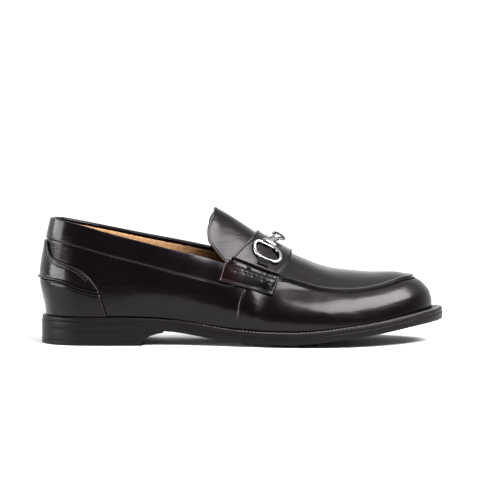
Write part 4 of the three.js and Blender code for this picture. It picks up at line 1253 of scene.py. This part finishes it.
def endRun(side, edge):
    top = endTops[side]
    column = {"rear": 0, "front": -1}[edge]
    step = np.cumsum(np.linalg.norm(np.diff(top, axis=1), axis=-1), 1)
    far = np.pad(step, [(0, 0), (1, 0)])
    place = far if column == 0 else far[:, -1:] - far
    index = np.argmin(np.abs(place - endLook["stitchIn"]), 1)
    path = top[np.arange(len(top)), index][3:-3]
    tangent = np.gradient(top, axis=1)[np.arange(len(top)), index][3:-3]
    off = unit(np.cross(np.gradient(path, axis=0), tangent))
    off *= np.sign(off[:, 1:2] * side)
    return stitches(path + off * 0.1, off, "end")


def weltRun():
    at = np.linspace(0.33, 0.9995, 1400)
    turn = np.concatenate([turnAt(at), -turnAt(at)[::-1]])
    at = atTurn(turn)
    path = atHeight(inset(turn, weltLook["stitchIn"] + 0 * turn), weltTop(at) + threadLift)
    return stitches(path, np.broadcast_to([0.0, 0.0, 1.0], path.shape), "welt")


# Apron seam: short black threads that cross the groove under the lip. They are real stitches, but wide and
# close together, so they also fill the groove with black as painted shade.
apronLook = {"start": 0.612, "spacing": 2.0, "below": 1.75, "lowLift": -0.1, "above": 0.3,
             "highLift": -0.3, "width": 1.7, "height": 0.6}


def apronRun():
    look = apronLook
    at = np.linspace(look["start"], 0.9995, 1700)
    turn = np.concatenate([turnAtShare(at, -1), turnAtShare(at[::-1], 1)])
    seam = seamFall(turn)
    far = lengthAlong(face(turn, seam - 0.35 * fallPerLength(turn, seam)))
    where = np.arange(0.5, far[-1], look["spacing"])
    here = (np.interp(where, far, np.unwrap(turn)) + math.pi) % (2 * math.pi) - math.pi
    seam = seamFall(here)
    per = fallPerLength(here, seam)
    low = lifted(here, seam + look["below"] * per, look["lowLift"])
    high = lifted(here, seam + look["above"] * per, look["highLift"])
    length = np.linalg.norm(high - low, axis=-1)
    slope = unit(high - low)
    across = unit(np.cross(slope, outward(here, seam)))
    return threads((low + high) / 2, slope, across, np.cross(across, slope), length,
                   look["width"], look["height"])


sides = (-1, 1)
putStitches("stitches_upper", [
    *(bandRun(side) for side in sides),
    *(counterRun(side, inward) for inward in counterLook["stitchIns"] for side in sides),
    *(counterFrontRun(side) for side in sides)], darkThread)
putStitches("stitches_strap", [tongueRun(), strapRun("rear"), strapRun("front")], blackThread)
putStitches("stitches_strap_ends", [endRun(side, edge) for side in sides for edge in ("rear", "front")],
            paleThread)
putStitches("stitches_side", [sideSeamRun(side) for side in sides], paleThread)
putStitches("stitches_welt", [weltRun()], weltThread)
# The apron's black threads are partly real stitches and partly painted shade filling the groove.
putStitches("stitches_apron", [apronRun()], blackThread)

# Stage: a plain pale floor, a pale backdrop with a ceiling, and three soft boxes near the shoe.
stageLook = {
    "floorColour": (0.55, 0.55, 0.553), "floorRadius": 0.42, "skyBehind": 1.35, "skyFront": 0.24,
    "skyOverhead": 1.6, "boxesFace": (40, -20, 60), "distance": 2000, "pitch": 3.8,
    "aim": (-0.5, 0, 75.7), "lens": 201.15,
}
# Each soft box faces a point on the shoe: its turn is 0 in front of the outer side and 90 at the
# toe, its rise is above the horizon, and its sizes are in millimetres.
boxRows = [
    {"name": "top_box", "turn": 49.4, "rise": 47.4, "away": 529, "wide": 720, "tall": 330, "bright": 29},
    {"name": "heel_box", "turn": -71.5, "rise": 2.1, "away": 667, "wide": 432, "tall": 112, "bright": 26.7},
    {"name": "back_box", "turn": -90, "rise": 13.4, "away": 385, "wide": 174, "tall": 64, "bright": 17.8},
]


def makeFloor():
    angle = np.linspace(0, 2 * math.pi, 128, endpoint=False)
    rim = stageLook["floorRadius"] * np.stack([np.cos(angle), np.sin(angle)], -1)
    mesh = bpy.data.meshes.new("floor")
    mesh.from_pydata([(x, y, -0.0002) for x, y in rim.tolist()], [], [tuple(range(len(angle)))])
    floor = bpy.data.objects.new("floor", mesh)
    bpy.context.scene.collection.objects.link(floor)
    material, _, shader, _ = newMaterial("pale_floor", Roughness=0.7, Specular_IOR_Level=0.1)
    shader.inputs["Base Color"].default_value = (*stageLook["floorColour"], 1)
    mesh.materials.append(material)


# A soft box: an area lamp whose power gives the wanted radiance over its own area.
def makeBox(row):
    turn, rise = math.radians(row["turn"]), math.radians(row["rise"])
    way = (math.sin(turn) * math.cos(rise), -math.cos(turn) * math.cos(rise), math.sin(rise))
    wide, tall = row["wide"] / 1000, row["tall"] / 1000
    lamp = bpy.data.lights.new(row["name"], "AREA")
    lamp.shape = "RECTANGLE"
    lamp.size, lamp.size_y = wide, tall
    lamp.energy = row["bright"] * math.pi * wide * tall
    holder = bpy.data.objects.new(row["name"], lamp)
    bpy.context.scene.collection.objects.link(holder)
    holder.location = [(near + row["away"] * part) / 1000
                       for near, part in zip(stageLook["boxesFace"], way)]
    holder.rotation_euler = (math.pi / 2 - rise, 0, turn)


# Backdrop: white behind the shoe, dim in front of it, with a pale ceiling overhead.
def makeSky():
    world = bpy.data.worlds.new("studio")
    bpy.context.scene.world = world
    world.use_nodes = True
    tree = world.node_tree
    place = addNode(tree, "ShaderNodeTexCoord", "direction")
    split = addNode(tree, "ShaderNodeSeparateXYZ", "parts of the direction")
    tree.links.new(place.outputs["Generated"], split.inputs["Vector"])
    sky = addNode(tree, "ShaderNodeMapRange", "front to behind", From_Min=-0.1, From_Max=0.5,
                  To_Min=stageLook["skyFront"], To_Max=stageLook["skyBehind"])
    tree.links.new(split.outputs["Y"], sky.inputs["Value"])
    overhead = addNode(tree, "ShaderNodeMapRange", "pale ceiling", From_Min=0.84, From_Max=0.96,
                       To_Min=0.0, To_Max=stageLook["skyOverhead"])
    tree.links.new(split.outputs["Z"], overhead.inputs["Value"])
    both = addNode(tree, "ShaderNodeMath", "sky and ceiling", operation="ADD")
    tree.links.new(sky.outputs["Result"], both.inputs[0])
    tree.links.new(overhead.outputs["Result"], both.inputs[1])
    tree.links.new(both.outputs["Value"], tree.nodes["Background"].inputs["Strength"])
    tree.nodes["Background"].inputs["Color"].default_value = (1, 1, 1, 1)


def makeCamera():
    pitch = math.radians(stageLook["pitch"])
    far = stageLook["distance"] / 1000
    aim = [value / 1000 for value in stageLook["aim"]]
    camera = bpy.data.cameras.new("camera")
    camera.lens = stageLook["lens"]
    camera.sensor_width = 36
    camera.clip_end = 100
    holder = bpy.data.objects.new("camera", camera)
    bpy.context.scene.collection.objects.link(holder)
    holder.location = (aim[0], aim[1] - far * math.cos(pitch), aim[2] + far * math.sin(pitch))
    holder.rotation_euler = (math.pi / 2 - pitch, 0, 0)
    bpy.context.scene.camera = holder


makeFloor()
for row in boxRows:
    makeBox(row)
makeSky()
makeCamera()
bpy.context.scene.view_settings.view_transform = "Standard"
print("stage ready")
